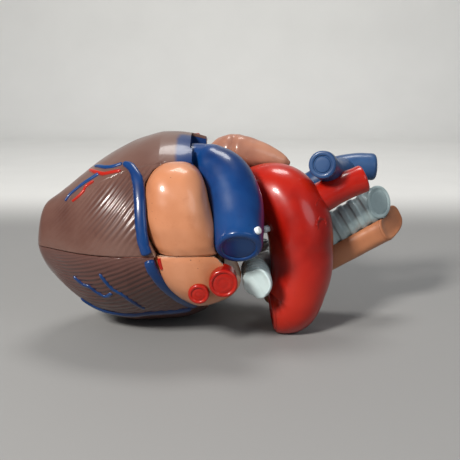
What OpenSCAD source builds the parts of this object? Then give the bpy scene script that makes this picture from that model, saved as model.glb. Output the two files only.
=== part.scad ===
// Heart model for teaching, lying on its back. X runs from the apex to the great vessels,
// Y away from the viewer (to the patient's right), Z up (to the patient's front).

/* [Ventricles] */
// Length of the ventricles from the apex to the flat base
vent_l = 140.5; // [136:0.5:144]
// Place of the flat base of the ventricles along the model
base_x = -13; // [-15:0.5:-12]
// Height of the split between the front and back halves above the table
split_z = 82; // [80:0.5:85]
// Height of the front half above the split
top_h = 90; // [85:0.5:94]
// Half width towards the viewer
near_w = 80; // [77:0.5:83]
// Half width away from the viewer
far_w = 84; // [80:0.5:88]
// Thickness of the left ventricle's wall
lv_wall = 15; // [12:0.5:17]
// Thickness of the right ventricle's wall
rv_wall = 9; // [7:0.5:11]
// Thickness of the wall between the ventricles
septum_t = 12; // [9:0.5:14]
// Gap of the split between the halves
split_gap = 0.3; // [0.2:0.05:0.4]
// Depth of the flat that the back half rests on
rest_cut = 2.4; // [2:0.1:3]

/* [Atria] */
// Height of the left auricle above the split
auricle_h = 70; // [66:1:72]
// Reach of the left auricle towards the viewer
auricle_w = 82; // [79:0.5:84]
// Depth of the left atrium below the split
left_atrium_h = 47; // [43:1:50]
// Depth of the right atrium below the split
right_atrium_h = 58; // [52:1:62]
// Reach of the right atrium away from the viewer
right_atrium_w = 90; // [87:0.5:93]
// Height of the right atrium's dome above the split
right_auricle_h = 64; // [60:1:66]
// Wall of the atria
atrium_wall = 5; // [4:0.5:7]
// Radius of the left pulmonary veins: upper and lower
vein_r = 11.4; // [10:0.1:12]
// Radius of the lower left pulmonary vein
low_vein_r = 8.5; // [8:0.1:9.5]

/* [Great vessels] */
// Radius of the arch of the aorta
arch_r = 28.5; // [26:0.5:29]
// Radius of the descending end of the aorta
down_r = 25.5; // [24:0.5:27]
// Reach of the arch to the right
arch_x = 68; // [66:0.5:72]
// Radius of the pulmonary trunk
trunk_r = 22; // [20:0.5:23]
// Radius of the brachiocephalic trunk
brachio_r = 12.5; // [11:0.5:13]
// Radius of the superior vena cava
cava_r = 12.5; // [11.5:0.5:13]
// Radius of the left brachiocephalic vein
left_vein_r = 12; // [11:0.5:13]
// Radius of the inferior vena cava
low_cava_r = 13; // [11:0.5:14]
// Radius of the left carotid's cut end
carotid_r = 7; // [6:0.5:8]
// Radius of the left subclavian's cut end
subclavian_r = 6; // [5:0.5:7]

/* [Airway] */
// Radius of the trachea between its rings
trachea_r = 14; // [13:0.5:15]
// Height of the trachea's rings
ring_h = 1.2; // [0.8:0.1:1.6]
// Spacing of the trachea's rings
ring_step = 10.5; // [9:0.5:12]
// Length of the trachea to the middle of its cut end
trachea_l = 113; // [107:1:115]
// Radius of the left bronchus
bronchus_r = 11; // [10:0.5:11]
// Width of the oesophagus
oeso_w = 36; // [32:1:38]
// Thickness of the oesophagus
oeso_t = 25; // [22:0.5:27]
// Length of the oesophagus to the middle of its cut end
oeso_l = 136; // [130:1:140]
// Slope of the airway
airway_tilt = 31; // [30:0.5:31.5]
// Slope of the oesophagus
oeso_tilt = 28.5; // [28:0.5:29.5]
// Slant of the trachea's cut end towards the viewer
trachea_slant = 40; // [30:1:45]
// Slant of the oesophagus's cut end towards the viewer
oeso_slant = 36; // [28:1:42]

/* [Fits] */
// Radius of the locating pegs
peg_r = 3; // [2.5:0.1:3.5]
// Length of the locating pegs below the split
peg_l = 9; // [7:0.5:11]
// Radial clearance of a peg in its bore
peg_gap = 0.08; // [0.05:0.01:0.12]
// Gap between pieces that lie side by side
seat_gap = 0.3; // [0.2:0.05:0.4]
// Radius of the rim magnets
magnet_r = 4; // [3:0.5:4.5]
// Thickness of the rim magnets
magnet_t = 3; // [2:0.5:4]
// Radius of the stand socket's bore
socket_r = 5; // [4:0.5:6]
// Depth of the stand socket's bore
socket_l = 20; // [16:1:23]

/* [Vessels on the wall] */
// Width of the great cardiac vein
big_vein_w = 9; // [7:0.5:11]
// Width of the thin vessels
thin_vessel_w = 3.6; // [3:0.1:5]
// Height of the great cardiac vein over the wall
vein_rise = 2.6; // [2:0.1:3.2]
// Depth that the vessels are set into the wall
vessel_sink = 1; // [0.6:0.1:1.4]

/* [Valves] */
// Radius of the mitral opening
mitral_r = 14; // [12.5:0.5:14.5]
// Radius of the tricuspid opening
tricuspid_r = 15.5; // [14:0.5:16]
// Radius of the bores of the pulmonary and aortic valves
outflow_r = 10.5; // [9.5:0.5:11]
// Thickness of a cusp
cusp_t = 1.2; // [0.9:0.1:1.6]
// Thickness of a tendinous cord
chord_t = 1.6; // [1.2:0.1:2]

/* [Hidden] */

// Paint colours
muscle_grey = [0.55, 0.47, 0.44];
atrium_pink = [0.82, 0.60, 0.56];
artery_red = [0.72, 0.12, 0.10];
vein_blue = [0.17, 0.24, 0.55];
airway_pale = [0.78, 0.81, 0.84];
oeso_tan = [0.78, 0.53, 0.36];
inner_cream = [0.86, 0.76, 0.66];
bare_steel = [0.70, 0.71, 0.73];

apex_x = base_x - vent_l;
apex_y = -28;
low_h = split_z + rest_cut;
top_y = 2;              // ridge of the front half
low_y = 36;             // lowest line of the back half
nose = 0.27;            // share of the full size that the blunt apex has
top_nose = 0.38;        // the same for the height of the front half
middle = [8.55, 5.8];    // middle of the outline seen from above

// ---- helpers --------------------------------------------------------------------------------

function unit(v) = v / norm(v);
// Growth from the blunt apex to the full size at the part full of the length
function swell(t, full, b, blunt = nose) = min(1, pow(pow(1 - pow(1 - min(1, t / full), 2), 3 * b)
  + pow(blunt * (1 - exp(-t * vent_l / 3)), 3), 1 / 3));
function over(t, a) = pow(max(0, t - a) / (1 - a), 2);

// Closed solid through rings of points that run anticlockwise round the way from a to b
module skin(rings, a, b) {
  n = len(rings[0]);
  m = len(rings);
  points = concat([a, b], [for (ring = rings) each ring]);
  polyhedron(points = points, faces = concat(
    [for (j = [0:n - 1]) [0, 2 + j, 2 + (j + 1) % n]],
    [for (j = [0:n - 1]) [1, 2 + (m - 1) * n + (j + 1) % n, 2 + (m - 1) * n + j]],
    [for (i = [0:m - 2]) for (j = [0:n - 1])
      let (p = 2 + i * n + j, q = 2 + i * n + (j + 1) % n, r = 2 + (i + 1) * n + (j + 1) % n) [p, r, q]],
    [for (i = [0:m - 2]) for (j = [0:n - 1])
      let (p = 2 + i * n + j, r = 2 + (i + 1) * n + (j + 1) % n, s = 2 + (i + 1) * n + j) [p, s, r]]));
}

// Smooth curve through points of any dimension, with k steps between two of them
function curve(p, k) = [for (i = [0:len(p) - 2]) for (s = [0:k - (i == len(p) - 2 ? 0 : 1)])
  let (u = s / k, b = p[i], c = p[i + 1],
    a = i == 0 ? 2 * b - c : p[i - 1], d = i == len(p) - 2 ? 2 * c - b : p[i + 2])
  0.5 * (2 * b + (c - a) * u + (2 * a - 5 * b + 4 * c - d) * u * u + (3 * b - a - 3 * c + d) * u * u * u)];

function place(v) = [v[0], v[1], v[2]];
function heading(path, i) = unit(place(path[min(i + 1, len(path) - 1)]) - place(path[max(i - 1, 0)]));

// Round tube along a path of [x, y, z, radius], with ref a direction that it never runs along
module tube(path, ref, n = 20, grow = 0) {
  skin([for (i = [0:len(path) - 1])
      let (t = heading(path, i), e = unit(ref - (ref * t) * t), f = cross(t, e), r = path[i][3] + grow)
      [for (j = [0:n - 1]) place(path[i]) + r * (cos(360 * j / n) * e + sin(360 * j / n) * f)]],
    place(path[0]), place(path[len(path) - 1]));
}

module rod(p, q, r, n = 32) {
  d = q - p;
  translate(p) rotate([0, acos(d.z / norm(d)), atan2(d.y, d.x)]) cylinder(h = norm(d), r = r, $fn = n);
}

// ---- outer form of the ventricles ------------------------------------------------------------
// t runs from the apex to the base, a round the section: 0 far edge, 90 front, 180 near edge, 270 back

function vent_x(t) = apex_x + vent_l * t;
function near_y(t) = apex_y - (near_w + apex_y) * swell(t, 0.62, 0.95) + 14 * over(t, 0.66);
function far_y(t) = apex_y + (far_w - apex_y) * swell(t, 0.85, 0.6) - 12 * over(t, 0.8);
function ridge_y(t, up) = apex_y + ((up ? top_y : low_y) - apex_y) * swell(t, 0.9, 0.8);
function height(t, up) = up ? top_h * swell(t, 0.87, 0.85, top_nose) * (1 - 0.05 * over(t, 0.8))
  : low_h * swell(t, 0.62, 0.72) * (1 - 0.12 * over(t, 0.78));
// The near side of the back half is drawn in, with less than an ellipse's fullness
function drawn(c) = pow(abs(c), lean) * sign(c);
lean = 1.34;
function wall(t, a) = let (up = sin(a) >= 0, m = ridge_y(t, up), far = cos(a) >= 0,
    c = up || far ? cos(a) : drawn(cos(a)), v = up || far ? sin(a) : drawn(sin(a)),
    w = far ? far_y(t) - m : m - near_y(t))
  [vent_x(t), m + w * c, split_z + height(t, up) * v];
function wall_out(t, a) = let (e = 0.01,
    u = wall(min(t + e, 1), a) - wall(max(t - e, 0.001), a), v = wall(t, a + 1) - wall(t, a - 1))
  unit(cross(u, v)) * -1;

// Chambers in the split plane: [middle, half width, depth] at a station
function septum_y(t) = near_y(t) + 0.42 * (far_y(t) - near_y(t));
function bulge(t, a, b) = let (u = (2 * t - a - b) / (b - a)) abs(u) >= 1 ? 0 : pow(1 - u * u, 0.4);
function chamber(lo, hi, g, d) = [(lo + hi) / 2, (hi - lo) / 2 * (0.4 + 0.6 * g), d * g];
lv_t = [0.12, (base_x - 52 - apex_x) / vent_l];
rv_t = [0.26, 0.8];
function left_room(t, up) = let (n = near_y(t), s = septum_y(t))
  chamber(n + min(lv_wall, 0.35 * (s - n)), s - min(septum_t / 2, 0.2 * (s - n)),
    bulge(t, lv_t[0], lv_t[1]), (up ? 56 : 44) * swell(t, 0.8, 0.5));
function right_room(t, up) = let (f = far_y(t), s = septum_y(t))
  chamber(s + min(septum_t / 2, 0.2 * (f - s)), f - min(rv_wall, 0.35 * (f - s)),
    bulge(t, rv_t[0], rv_t[1]), (up ? 62 : 54) * swell(t, 0.85, 0.6));

arc_n = 26;
room_n = 10;
function room(c, up, from_far) = let (s = from_far ? 1 : -1)
  [for (i = [0:room_n]) let (q = 180 * i / room_n)
    [c[0] + s * c[1] * cos(q), (up ? 1 : -1) * (c[2] * sin(q) + split_gap / 2)]];
function half_ring(t, up) = let (x = vent_x(t))
  concat(
    [for (i = [0:arc_n]) let (a = (up ? 0 : 180) + 180 * i / arc_n, p = wall(t, a))
      [x, p.y, up ? max(p.z, split_z + split_gap / 2) : min(p.z, split_z - split_gap / 2)]],
    [for (p = room(up ? left_room(t, up) : right_room(t, up), up, !up)) [x, p.x, split_z + p.y]],
    [for (p = room(up ? right_room(t, up) : left_room(t, up), up, !up)) [x, p.x, split_z + p.y]]);
stations = [0.012, 0.04, 0.08, 0.13, 0.19, 0.26, 0.34, 0.42, 0.5, 0.57, 0.62, 0.66, 0.71, 0.77, 0.82,
  0.86, 0.9, 0.95, 1];

module ventricle_half(up) {
  s = up ? 1 : -1;
  skin([for (t = stations) half_ring(t, up)], [apex_x, apex_y, split_z + s * split_gap],
    [base_x, 15, split_z + s * 20]);
}

// ---- atria -----------------------------------------------------------------------------------
// A bowl below the split: stations of [x, near y, far y, depth, top below the split, room depth]

function full_round(c) = pow(abs(c), 0.7) * sign(c);
function bowl_ring(s, grow) = let (m = (s[1] + s[2]) / 2, w = (s[2] - s[1]) / 2 + grow, r = w - atrium_wall - grow)
  concat(
    [for (i = [0:16]) let (a = 180 + 180 * i / 16)
      [s[0], m + w * full_round(cos(a)), split_z - split_gap / 2 - s[4] + (s[3] + grow) * full_round(sin(a))]],
    [for (i = [0:10]) let (q = 180 * i / 10)
      [s[0], m + max(r, 0.5 * w) * cos(q), split_z - split_gap / 2 - s[4] - (grow > 0 ? 0 : s[5]) * sin(q)
        + (grow > 0 ? 6 : 0)]]);
module bowl(list, a, b, grow = 0) {
  skin([for (s = list) bowl_ring(s, grow)], a - [grow, 0, 0], b + [grow, 0, 0]);
}

la_x = [-52, 16.2];
la_h = left_atrium_h;
la_list = [[-51.5, -70, -28, 0.2 * la_h, 0, 0], [-49, -75, -18, 0.4 * la_h, 0, 0],
  [-45, -77, -9, 0.56 * la_h, 0, 0.3 * la_h], [-38, -78, -4, 0.75 * la_h, 0, 0.58 * la_h],
  [-29, -78, -2, 0.9 * la_h, 0, 0.74 * la_h], [-17, -77, -2, la_h, 0, 0.8 * la_h],
  [-5, -74, -3, 0.94 * la_h, 1, 0.5 * la_h],
  [3, -71, -5, 0.7 * la_h, 9, 0], [9, -66, -9, 0.5 * la_h, 15, 0],
  [13.5, -58, -17, 0.3 * la_h, 20, 0], [15.6, -50, -25, 0.12 * la_h, 24, 0]];
la_a = [la_x[0], -46, split_z - 6];
la_b = [la_x[1], -38, split_z - 27];
// The space before the left atrium, which the wall of the ventricles leaves free
la_front = [for (s = la_list) [s[0], -140, s[2], s[3], s[4], s[5]]];

ra_h = right_atrium_h;
ra_w = right_atrium_w;
ra_list = [[-34.5, 48, ra_w - 18, 18, 0, 0], [-31, 41, ra_w - 8, 34, 0, 0],
  [-24, 37, ra_w - 2, 0.8 * ra_h, 0, 0], [-18, 36, ra_w, 0.94 * ra_h, 0, 0.6 * ra_h],
  [-9, 35.5, ra_w, ra_h, 0, 0.8 * ra_h], [0, 35.5, ra_w, 0.97 * ra_h, 0, 0.55 * ra_h],
  [6, 37, ra_w - 2, 0.88 * ra_h, 0, 0], [12, 40, ra_w - 7, 0.66 * ra_h, 0, 0],
  [15, 46, ra_w - 15, 0.35 * ra_h, 0, 0]];
ra_a = [-35.5, 60, split_z - 5];
ra_b = [16, 62, split_z - 8];

// Left auricle: sections up from the split, [height share, left x, right x, near y, far y, widest y]
auricle_list = [[0, -50.5, 1, -auricle_w + 4, -18, -48], [0.12, -54.5, -1, -auricle_w + 1, -18, -49.5],
  [0.3, -59.2, -5, -auricle_w, -18, -50], [0.46, -60.5, -8, -auricle_w + 1, -19, -50],
  [0.64, -60.5, -11, -auricle_w + 4, -21, -49], [0.8, -58.5, -14, -auricle_w + 9, -24, -47],
  [0.92, -53, -19, -auricle_w + 17, -28, -44.5], [0.985, -45, -26, -auricle_w + 27, -34, -42]];
function auricle_ring(s, grow, n = 28) = let (near = grow > 1 ? -140 : s[3], mx = (s[1] + s[2]) / 2,
    more = min(grow, seat_gap), rx = (s[2] - s[1]) / 2 + more,
    z = split_z + split_gap / 2 + auricle_h * s[0])
  [for (j = [0:n - 1]) let (a = 360 * j / n, ry = (a < 180 ? s[4] - s[5] : s[5] - near) + more)
    [mx + rx * full_round(cos(a)), s[5] + ry * full_round(sin(a)), z]];
module auricle_body(grow = 0) {
  top = auricle_list[len(auricle_list) - 1];
  z0 = split_z + split_gap / 2 - (grow > 0 ? 2 : 0);
  skin(concat(grow > 0 ? [[for (p = auricle_ring(auricle_list[0], grow)) [p.x, p.y, z0]]] : [],
      [for (s = auricle_list) auricle_ring(s, grow)]),
    [-29, -45, z0], [-34, -45, split_z + auricle_h + grow]);
}

// ---- great vessels ---------------------------------------------------------------------------

root_x = base_x + seat_gap;
aorta_path = curve([
  [root_x - 6, 17, split_z + 15, 24], [6, 16, split_z + 20, 24.5], [24, 13, split_z + 28, 26],
  [40, 6, split_z + 35, arch_r - 0.7], [54, -2, split_z + 33, arch_r], [arch_x - 2, -10, split_z + 14, arch_r],
  [arch_x + 1, -14, split_z - 10, arch_r - 1], [arch_x + 1, -16, split_z - 27, down_r + 1],
  [arch_x - 2, -17, down_r + 16, down_r], [arch_x - 8, -18, down_r + 0.8, down_r - 0.3],
  [arch_x - 16, -18.5, down_r - 5.1, down_r - 3.5], [arch_x - 25, -19, down_r - 6.5, down_r - 8.5]], 3);
trunk_x = -25;
seat_h = top_h - 24;
trunk_ref = [0.15, 0, 1];
trunk_path = curve([
  [trunk_x + 8.5, -14.6, split_z + seat_h - 0.7, trunk_r - 6.5],
  [-8, -18.4, split_z + seat_h - 3.2, trunk_r - 2.4], [3, -26, split_z + seat_h - 11.5, trunk_r],
  [11, -40, split_z + 38.5, trunk_r + 0.5], [14, -55, split_z + 22, trunk_r - 1],
  [14.5, -75, split_z + 6, trunk_r - 3.5]], 4);
trunk_side = [[-23.5, -43], [-12, -52], [-12, -20], [-23.5, -20]];
trunk_up = [[trunk_x - seat_gap, -31], [12, -62], [12, 5], [trunk_x - seat_gap, 5]];

brachio_path = curve([[72, -5, split_z + 26, brachio_r + 2], [86, -4, split_z + 34, brachio_r + 1],
  [104, -1, split_z + 43, brachio_r], [124, 1, split_z + 51, brachio_r - 0.5]], 3);
cava_y = 51;
cava_z = split_z + 54.5;
cava_path = curve([[50, cava_y, cava_z - 28, cava_r], [64, cava_y, cava_z - 26, cava_r],
  [84, cava_y, cava_z - 17, cava_r], [103, cava_y, cava_z - 5, cava_r], [122, cava_y - 1, cava_z, cava_r],
  [143, cava_y - 2, cava_z, cava_r]], 3);
left_vein_path = curve([[84, -24, split_z + 65.5, left_vein_r - 0.3], [87.5, -12, split_z + 63.5, left_vein_r - 0.3],
  [95, 4, split_z + 56, left_vein_r - 1], [103, 22, split_z + 53, left_vein_r - 1],
  [110, 39, cava_z - 1, left_vein_r - 1]], 3);

// ---- airway ----------------------------------------------------------------------------------

airway_y = 30;
trachea_top = [144, airway_y, split_z + 25.1];
airway_dir = [cos(airway_tilt), 0, sin(airway_tilt)];
trachea_low = trachea_top - trachea_l * airway_dir;
ring_r = trachea_r + ring_h;
function along(p, d) = p + d * airway_dir;

// ---- nodes: back half ------------------------------------------------------------------------

mitral_at = [base_x - 55, -40, split_z - 20];
tricuspid_at = [base_x - 22, 54, split_z - 28];
peg_places = [[vent_x(0.3), near_y(0.3) + 9], [vent_x(0.3), far_y(0.3) - 7], [vent_x(0.73), septum_y(0.73) + 10]];
magnet_places = [[vent_x(0.1), (near_y(0.1) + far_y(0.1)) / 2], [vent_x(0.56), near_y(0.56) + 8],
  [vent_x(0.62), far_y(0.62) - 5]];
socket_at = [vent_x(0.65), low_y - 2];
root_peg_places = [[root_x, 12.5, split_z - 4], [root_x, 21.5, split_z - 4]];
root_peg_r = 2;
root_peg_l = 9;
stub_wall = 3;
stub_recess = 1;

module posterior_wall() {
  color(muscle_grey) difference() {
    ventricle_half(false);
    bowl(la_front, la_a, la_b, seat_gap);
    bowl(la_list, la_a, la_b, seat_gap);
    bowl(ra_list, ra_a, ra_b, seat_gap);
    translate([-200, -200, -20]) cube([400, 400, 20]);
    rod(mitral_at - [12, 0, 0], mitral_at + [28, 0, 0], mitral_r, 40);
    rod(tricuspid_at - [24, 0, 0], tricuspid_at + [20, 0, 0], tricuspid_r, 40);
    for (p = peg_places)
      translate([p.x, p.y, split_z - peg_l - 1]) cylinder(h = 2 * peg_l, r = peg_r + peg_gap, $fn = 24);
    for (p = magnet_places)
      translate([p.x, p.y, split_z - split_gap / 2 - magnet_t]) cylinder(h = 20, r = magnet_r + peg_gap, $fn = 24);
    rod(low_cava_in, low_cava_end + (low_cava_end - low_cava_in), low_cava_r + stub_gap, 40);
    translate([socket_at.x, socket_at.y, -1]) cylinder(h = socket_l + 4, r = socket_r + 3 + peg_gap, $fn = 40);
    for (p = root_peg_places)
      rod(p + [1, 0, 0], p - [root_peg_l + 1.5, 0, 0], root_peg_r + peg_gap, 24);
  }
}

module left_atrium() {
  color(atrium_pink) difference() {
    bowl(la_list, la_a, la_b);
    rod(mitral_at, mitral_at + [32, 0, 0], mitral_r, 40);
    tube(trunk_path, trunk_ref, 24, seat_gap);
    rod(upper_vein_in, upper_vein_end, vein_r + stub_gap, 40);
    rod(upper_vein_in + [-6, 24, 2], upper_vein_in, vein_r - stub_wall, 32);
    rod(lower_vein_in, lower_vein_end, low_vein_r + stub_gap, 40);
    rod(lower_vein_in + [2, 16, 3], lower_vein_in, low_vein_r - stub_wall, 32);
  }
}

module right_atrium() {
  color(atrium_pink) difference() {
    bowl(ra_list, ra_a, ra_b);
    rod(tricuspid_at - [2, 0, 0], tricuspid_at + [18, 0, 0], tricuspid_r, 40);
    rod(low_cava_in, low_cava_end, low_cava_r + stub_gap, 40);
    for (s = [right_vein_1, right_vein_2, right_artery])
      rod([s[0], right_atrium_w - stub_set, s[1]], [s[0], right_atrium_w + 10, s[1]], s[2] + stub_gap, 36);
    for (p = auricle_peg_places)
      translate([p.x, p.y, split_z - peg_l - 1]) cylinder(h = 2 * peg_l, r = peg_r + peg_gap, $fn = 24);
  }
}

stub_gap = 0.05;
stub_set = 12;          // depth that the stubs on the right stand in the atrium
upper_vein_in = [1.6, -66, split_z - 19.5];
upper_vein_end = [2.5, -82, split_z - 20.5];
lower_vein_in = [-16.7, -66, split_z - 28.6];
lower_vein_end = [-17.2, -78, split_z - 30.6];
low_cava_in = [-8.4, 61.4, 34];
low_cava_end = [-16, 66, 8];
auricle_peg_places = [[-28.5, 62], [10, 62]];
// Stubs on the right: [x, z, radius, reach out of the atrium]
right_vein_1 = [2, split_z - 40, 8, 7];
right_vein_2 = [-15, split_z - 31, 7, 5];
right_artery = [2, split_z - 16, 9.5, 8];

// Stub of a vein: solid from the chamber's wall to its cut end, with a shallow round in the end
module stub(p, q, r) {
  way = unit(q - p);
  difference() {
    rod(p, q, r, 40);
    rod(q - stub_recess * way, q + way, r - stub_wall, 32);
  }
}

module right_stub(s) {
  stub([s[0], right_atrium_w - stub_set, s[1]], [s[0], right_atrium_w + s[3], s[1]], s[2]);
}

module left_upper_pulmonary_vein() {
  color(artery_red) stub(upper_vein_in, upper_vein_end, vein_r);
}

module left_lower_pulmonary_vein() {
  color(artery_red) stub(lower_vein_in, lower_vein_end, low_vein_r);
}

module right_upper_pulmonary_vein() {
  color(artery_red) right_stub(right_vein_1);
}

module right_lower_pulmonary_vein() {
  color(artery_red) right_stub(right_vein_2);
}

module right_pulmonary_artery() {
  color(vein_blue) right_stub(right_artery);
}

module inferior_vena_cava() {
  color(vein_blue) stub(low_cava_in, low_cava_end, low_cava_r);
}

// Raised vessel on the wall, through stations [t, a, width]
module vessel(list, rise) {
  path = curve(list, 3);
  n = len(path) - 1;
  spots = [for (p = path) wall(p[0], p[1])];
  skin([for (i = [0:n]) let (o = wall_out(path[i][0], path[i][1]),
      t = unit(spots[min(i + 1, n)] - spots[max(i - 1, 0)]), s = unit(cross(t, o)), k = i == 0 || i == n ? 0.6 : 1)
      [for (j = [0:9]) let (c = cos(36 * j), d = sin(36 * j))
        spots[i] + k * path[i][2] / 2 * c * s - (d < 0 ? k * rise : vessel_sink) * d * o]],
    spots[0] - 0.3 * vessel_sink * wall_out(path[0][0], path[0][1]),
    spots[n] - 0.3 * vessel_sink * wall_out(path[n][0], path[n][1]));
}

// Share of the length at a distance before or past the front of the left atrium
function groove(d) = (la_x[0] + d - apex_x) / vent_l;
lower_vein_line = [[groove(-3.2), 183, 0.8 * big_vein_w], [groove(-1.9), 190, big_vein_w],
  [groove(1.4), 197, big_vein_w], [groove(7), 205, big_vein_w], [groove(14), 213, big_vein_w],
  [groove(21.5), 221, big_vein_w], [groove(29), 230, big_vein_w]];
middle_vein_line = [[0.23, 241, thin_vessel_w], [0.29, 243, 1.4 * thin_vessel_w], [0.36, 241, 0.6 * big_vein_w],
  [0.45, 237, 0.8 * big_vein_w], [0.56, 234, 0.9 * big_vein_w], [0.69, 232, big_vein_w],
  [0.82, 231.5, big_vein_w], [0.9, 233, big_vein_w]];
back_branch_1 = [[0.24, 208, 0.8 * thin_vessel_w], [0.29, 212, thin_vessel_w], [0.33, 212, thin_vessel_w],
  [0.37, 215, thin_vessel_w], [0.42, 216.5, thin_vessel_w], [0.463, 212, thin_vessel_w]];
back_branch_2 = [[0.413, 197, 0.8 * thin_vessel_w], [0.442, 203, thin_vessel_w], [0.474, 208, thin_vessel_w],
  [0.532, 212.5, thin_vessel_w], [0.576, 218.5, thin_vessel_w], [0.63, 226, thin_vessel_w]];
upper_vein_line = [[groove(-25.4), 123, 0.5 * big_vein_w], [groove(-19), 128, 0.8 * big_vein_w],
  [groove(-13), 138, big_vein_w], [groove(-10.5), 150, big_vein_w], [groove(-9.2), 162, big_vein_w],
  [groove(-7.4), 172, big_vein_w], [groove(-4.6), 178.4, big_vein_w]];
front_artery_line = [[0.32, 104, 0.8 * thin_vessel_w], [0.36, 114, thin_vessel_w], [0.41, 122, thin_vessel_w],
  [0.445, 125, thin_vessel_w], [0.53, 128, thin_vessel_w]];
front_artery_branch = [[0.371, 126, 0.8 * thin_vessel_w], [0.327, 127, 0.8 * thin_vessel_w],
  [0.31, 131, 0.8 * thin_vessel_w], [0.272, 134, 0.7 * thin_vessel_w], [0.248, 135, 0.6 * thin_vessel_w]];
front_vein_line = [[0.35, 104, 0.8 * thin_vessel_w], [0.42, 116, thin_vessel_w], [0.478, 121, thin_vessel_w],
  [0.532, 122, thin_vessel_w]];
front_vein_branch = [[0.4, 120.5, thin_vessel_w], [0.345, 121, thin_vessel_w], [0.306, 121, thin_vessel_w],
  [0.264, 122, 0.8 * thin_vessel_w], [0.22, 124, 0.8 * thin_vessel_w], [0.196, 129, 0.6 * thin_vessel_w]];
around_artery_path = curve([[-47.6, -75.6, split_z - 1.6, 1.4], [-47.2, -75.8, split_z - 5, 1.5],
  [-46, -75.8, split_z - 9, 1.1]], 4);
right_coronary_line = [[0.87, 68, thin_vessel_w], [0.91, 73, 1.2 * thin_vessel_w], [0.95, 79, thin_vessel_w]];

module lower_cardiac_vein() {
  color(vein_blue) vessel(lower_vein_line, vein_rise);
}

module middle_cardiac_vein() {
  color(vein_blue) vessel(middle_vein_line, 0.8 * vein_rise);
}

module posterior_vein_branches() {
  color(vein_blue) {
    vessel(back_branch_1, 0.5 * vein_rise);
    vessel(back_branch_2, 0.5 * vein_rise);
  }
}

module circumflex_artery() {
  color(artery_red) tube(around_artery_path, [0, 1, 0], 12);
}

// Ring with cusps that lean into the flow, with its axis along d
module valve(p, d, r, cusps, reach) {
  seat_t = 3;
  translate(p) rotate([0, acos(d.z / norm(d)), atan2(d.y, d.x)]) {
    rotate_extrude($fn = 40) translate([r - seat_t, 0]) square([seat_t - seat_gap, 2.4 * cusp_t]);
    for (i = [0:cusps - 1]) rotate([0, 0, 360 * (i + 0.04) / cusps])
      rotate_extrude(angle = 360 * 0.92 / cusps, $fn = 40)
        polygon([[r - seat_t, 0], [r - seat_t, 2 * cusp_t], [r * 0.3, reach], [r * 0.3 - cusp_t, reach],
          [r - seat_t - cusp_t, 0]]);
  }
}

module mitral_valve() {
  color(inner_cream) valve(mitral_at + [2, 0, 0], [-1, 0, 0], mitral_r, 2, 10);
}

module tricuspid_valve() {
  color(inner_cream) valve(tricuspid_at + [2, 0, 0], [-1, 0, 0], tricuspid_r, 3, 9);
}

// Papillary muscle: a cone that stands on the chamber's wall
module muscle(p, q, r) {
  d = q - p;
  translate(p) rotate([0, acos(d.z / norm(d)), atan2(d.y, d.x)])
    rotate_extrude($fn = 28) polygon([[0, 0], [r, 0], [0.86 * r, 0.35 * norm(d)], [0.6 * r, 0.75 * norm(d)],
      [0.35 * r, 0.95 * norm(d)], [0, norm(d)]]);
}

left_muscle_feet = [[vent_x(0.37), -46, split_z - 27], [vent_x(0.39), -29, split_z - 35]];
left_muscle_tips = [[vent_x(0.47), -45, split_z - 19], [vent_x(0.47), -33, split_z - 24]];
right_muscle_foot = [vent_x(0.5), 44, split_z - 42];
right_muscle_tip = [vent_x(0.66), 51, split_z - 30];
mitral_lip = mitral_at - [8.3, 0, 0];
tricuspid_lip = tricuspid_at - [7.3, 0, 0];

module left_papillary_muscles() {
  color(muscle_grey) for (i = [0, 1]) muscle(left_muscle_feet[i], left_muscle_tips[i], 6);
}

module right_papillary_muscles() {
  color(muscle_grey) muscle(right_muscle_foot, right_muscle_tip, 6);
}

module left_chordae() {
  color(inner_cream) for (i = [0, 1]) for (a = [-35, 35])
    rod(left_muscle_tips[i] + [0.3, 0, 0],
      mitral_lip + 0.27 * mitral_r * [0, (i == 0 ? -1 : 1) * cos(a), sin(a)], chord_t / 2, 16);
}

module right_chordae() {
  color(inner_cream) for (a = [90, 210, 330])
    rod(right_muscle_tip + [0.4, 1.7 * cos(a), 1.7 * sin(a)],
      tricuspid_lip + 0.27 * tricuspid_r * [0, cos(a), sin(a)], chord_t / 2, 16);
}

module rim_magnets() {
  color(bare_steel) for (p = magnet_places)
    translate([p.x, p.y, split_z - split_gap / 2 - magnet_t]) cylinder(h = magnet_t - 0.02, r = magnet_r, $fn = 24);
}

module stand_socket() {
  color(bare_steel) translate([socket_at.x, socket_at.y, 0]) difference() {
    cylinder(h = socket_l + 3, r = socket_r + 3, $fn = 40);
    translate([0, 0, -1]) cylinder(h = socket_l + 1, r = socket_r, $fn = 40);
  }
}

// ---- nodes: front wall -----------------------------------------------------------------------

pulmonary_seat = [trunk_x, -13, split_z + seat_h];
auricle_foot = [[-36, 30], [-36, right_atrium_w + 12], [40, right_atrium_w + 12], [40, 30]];
conus_room = [[vent_x(0.6), 14, pulmonary_seat.z - 26], pulmonary_seat - [9, 0, 0]];
trunk_magnet_r = 2;
trunk_seat_r = 16.5;
trunk_magnet_places = [for (a = [110, 30, -50]) pulmonary_seat + (outflow_r + 2.9) * [0, cos(a), sin(a)]];

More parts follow.
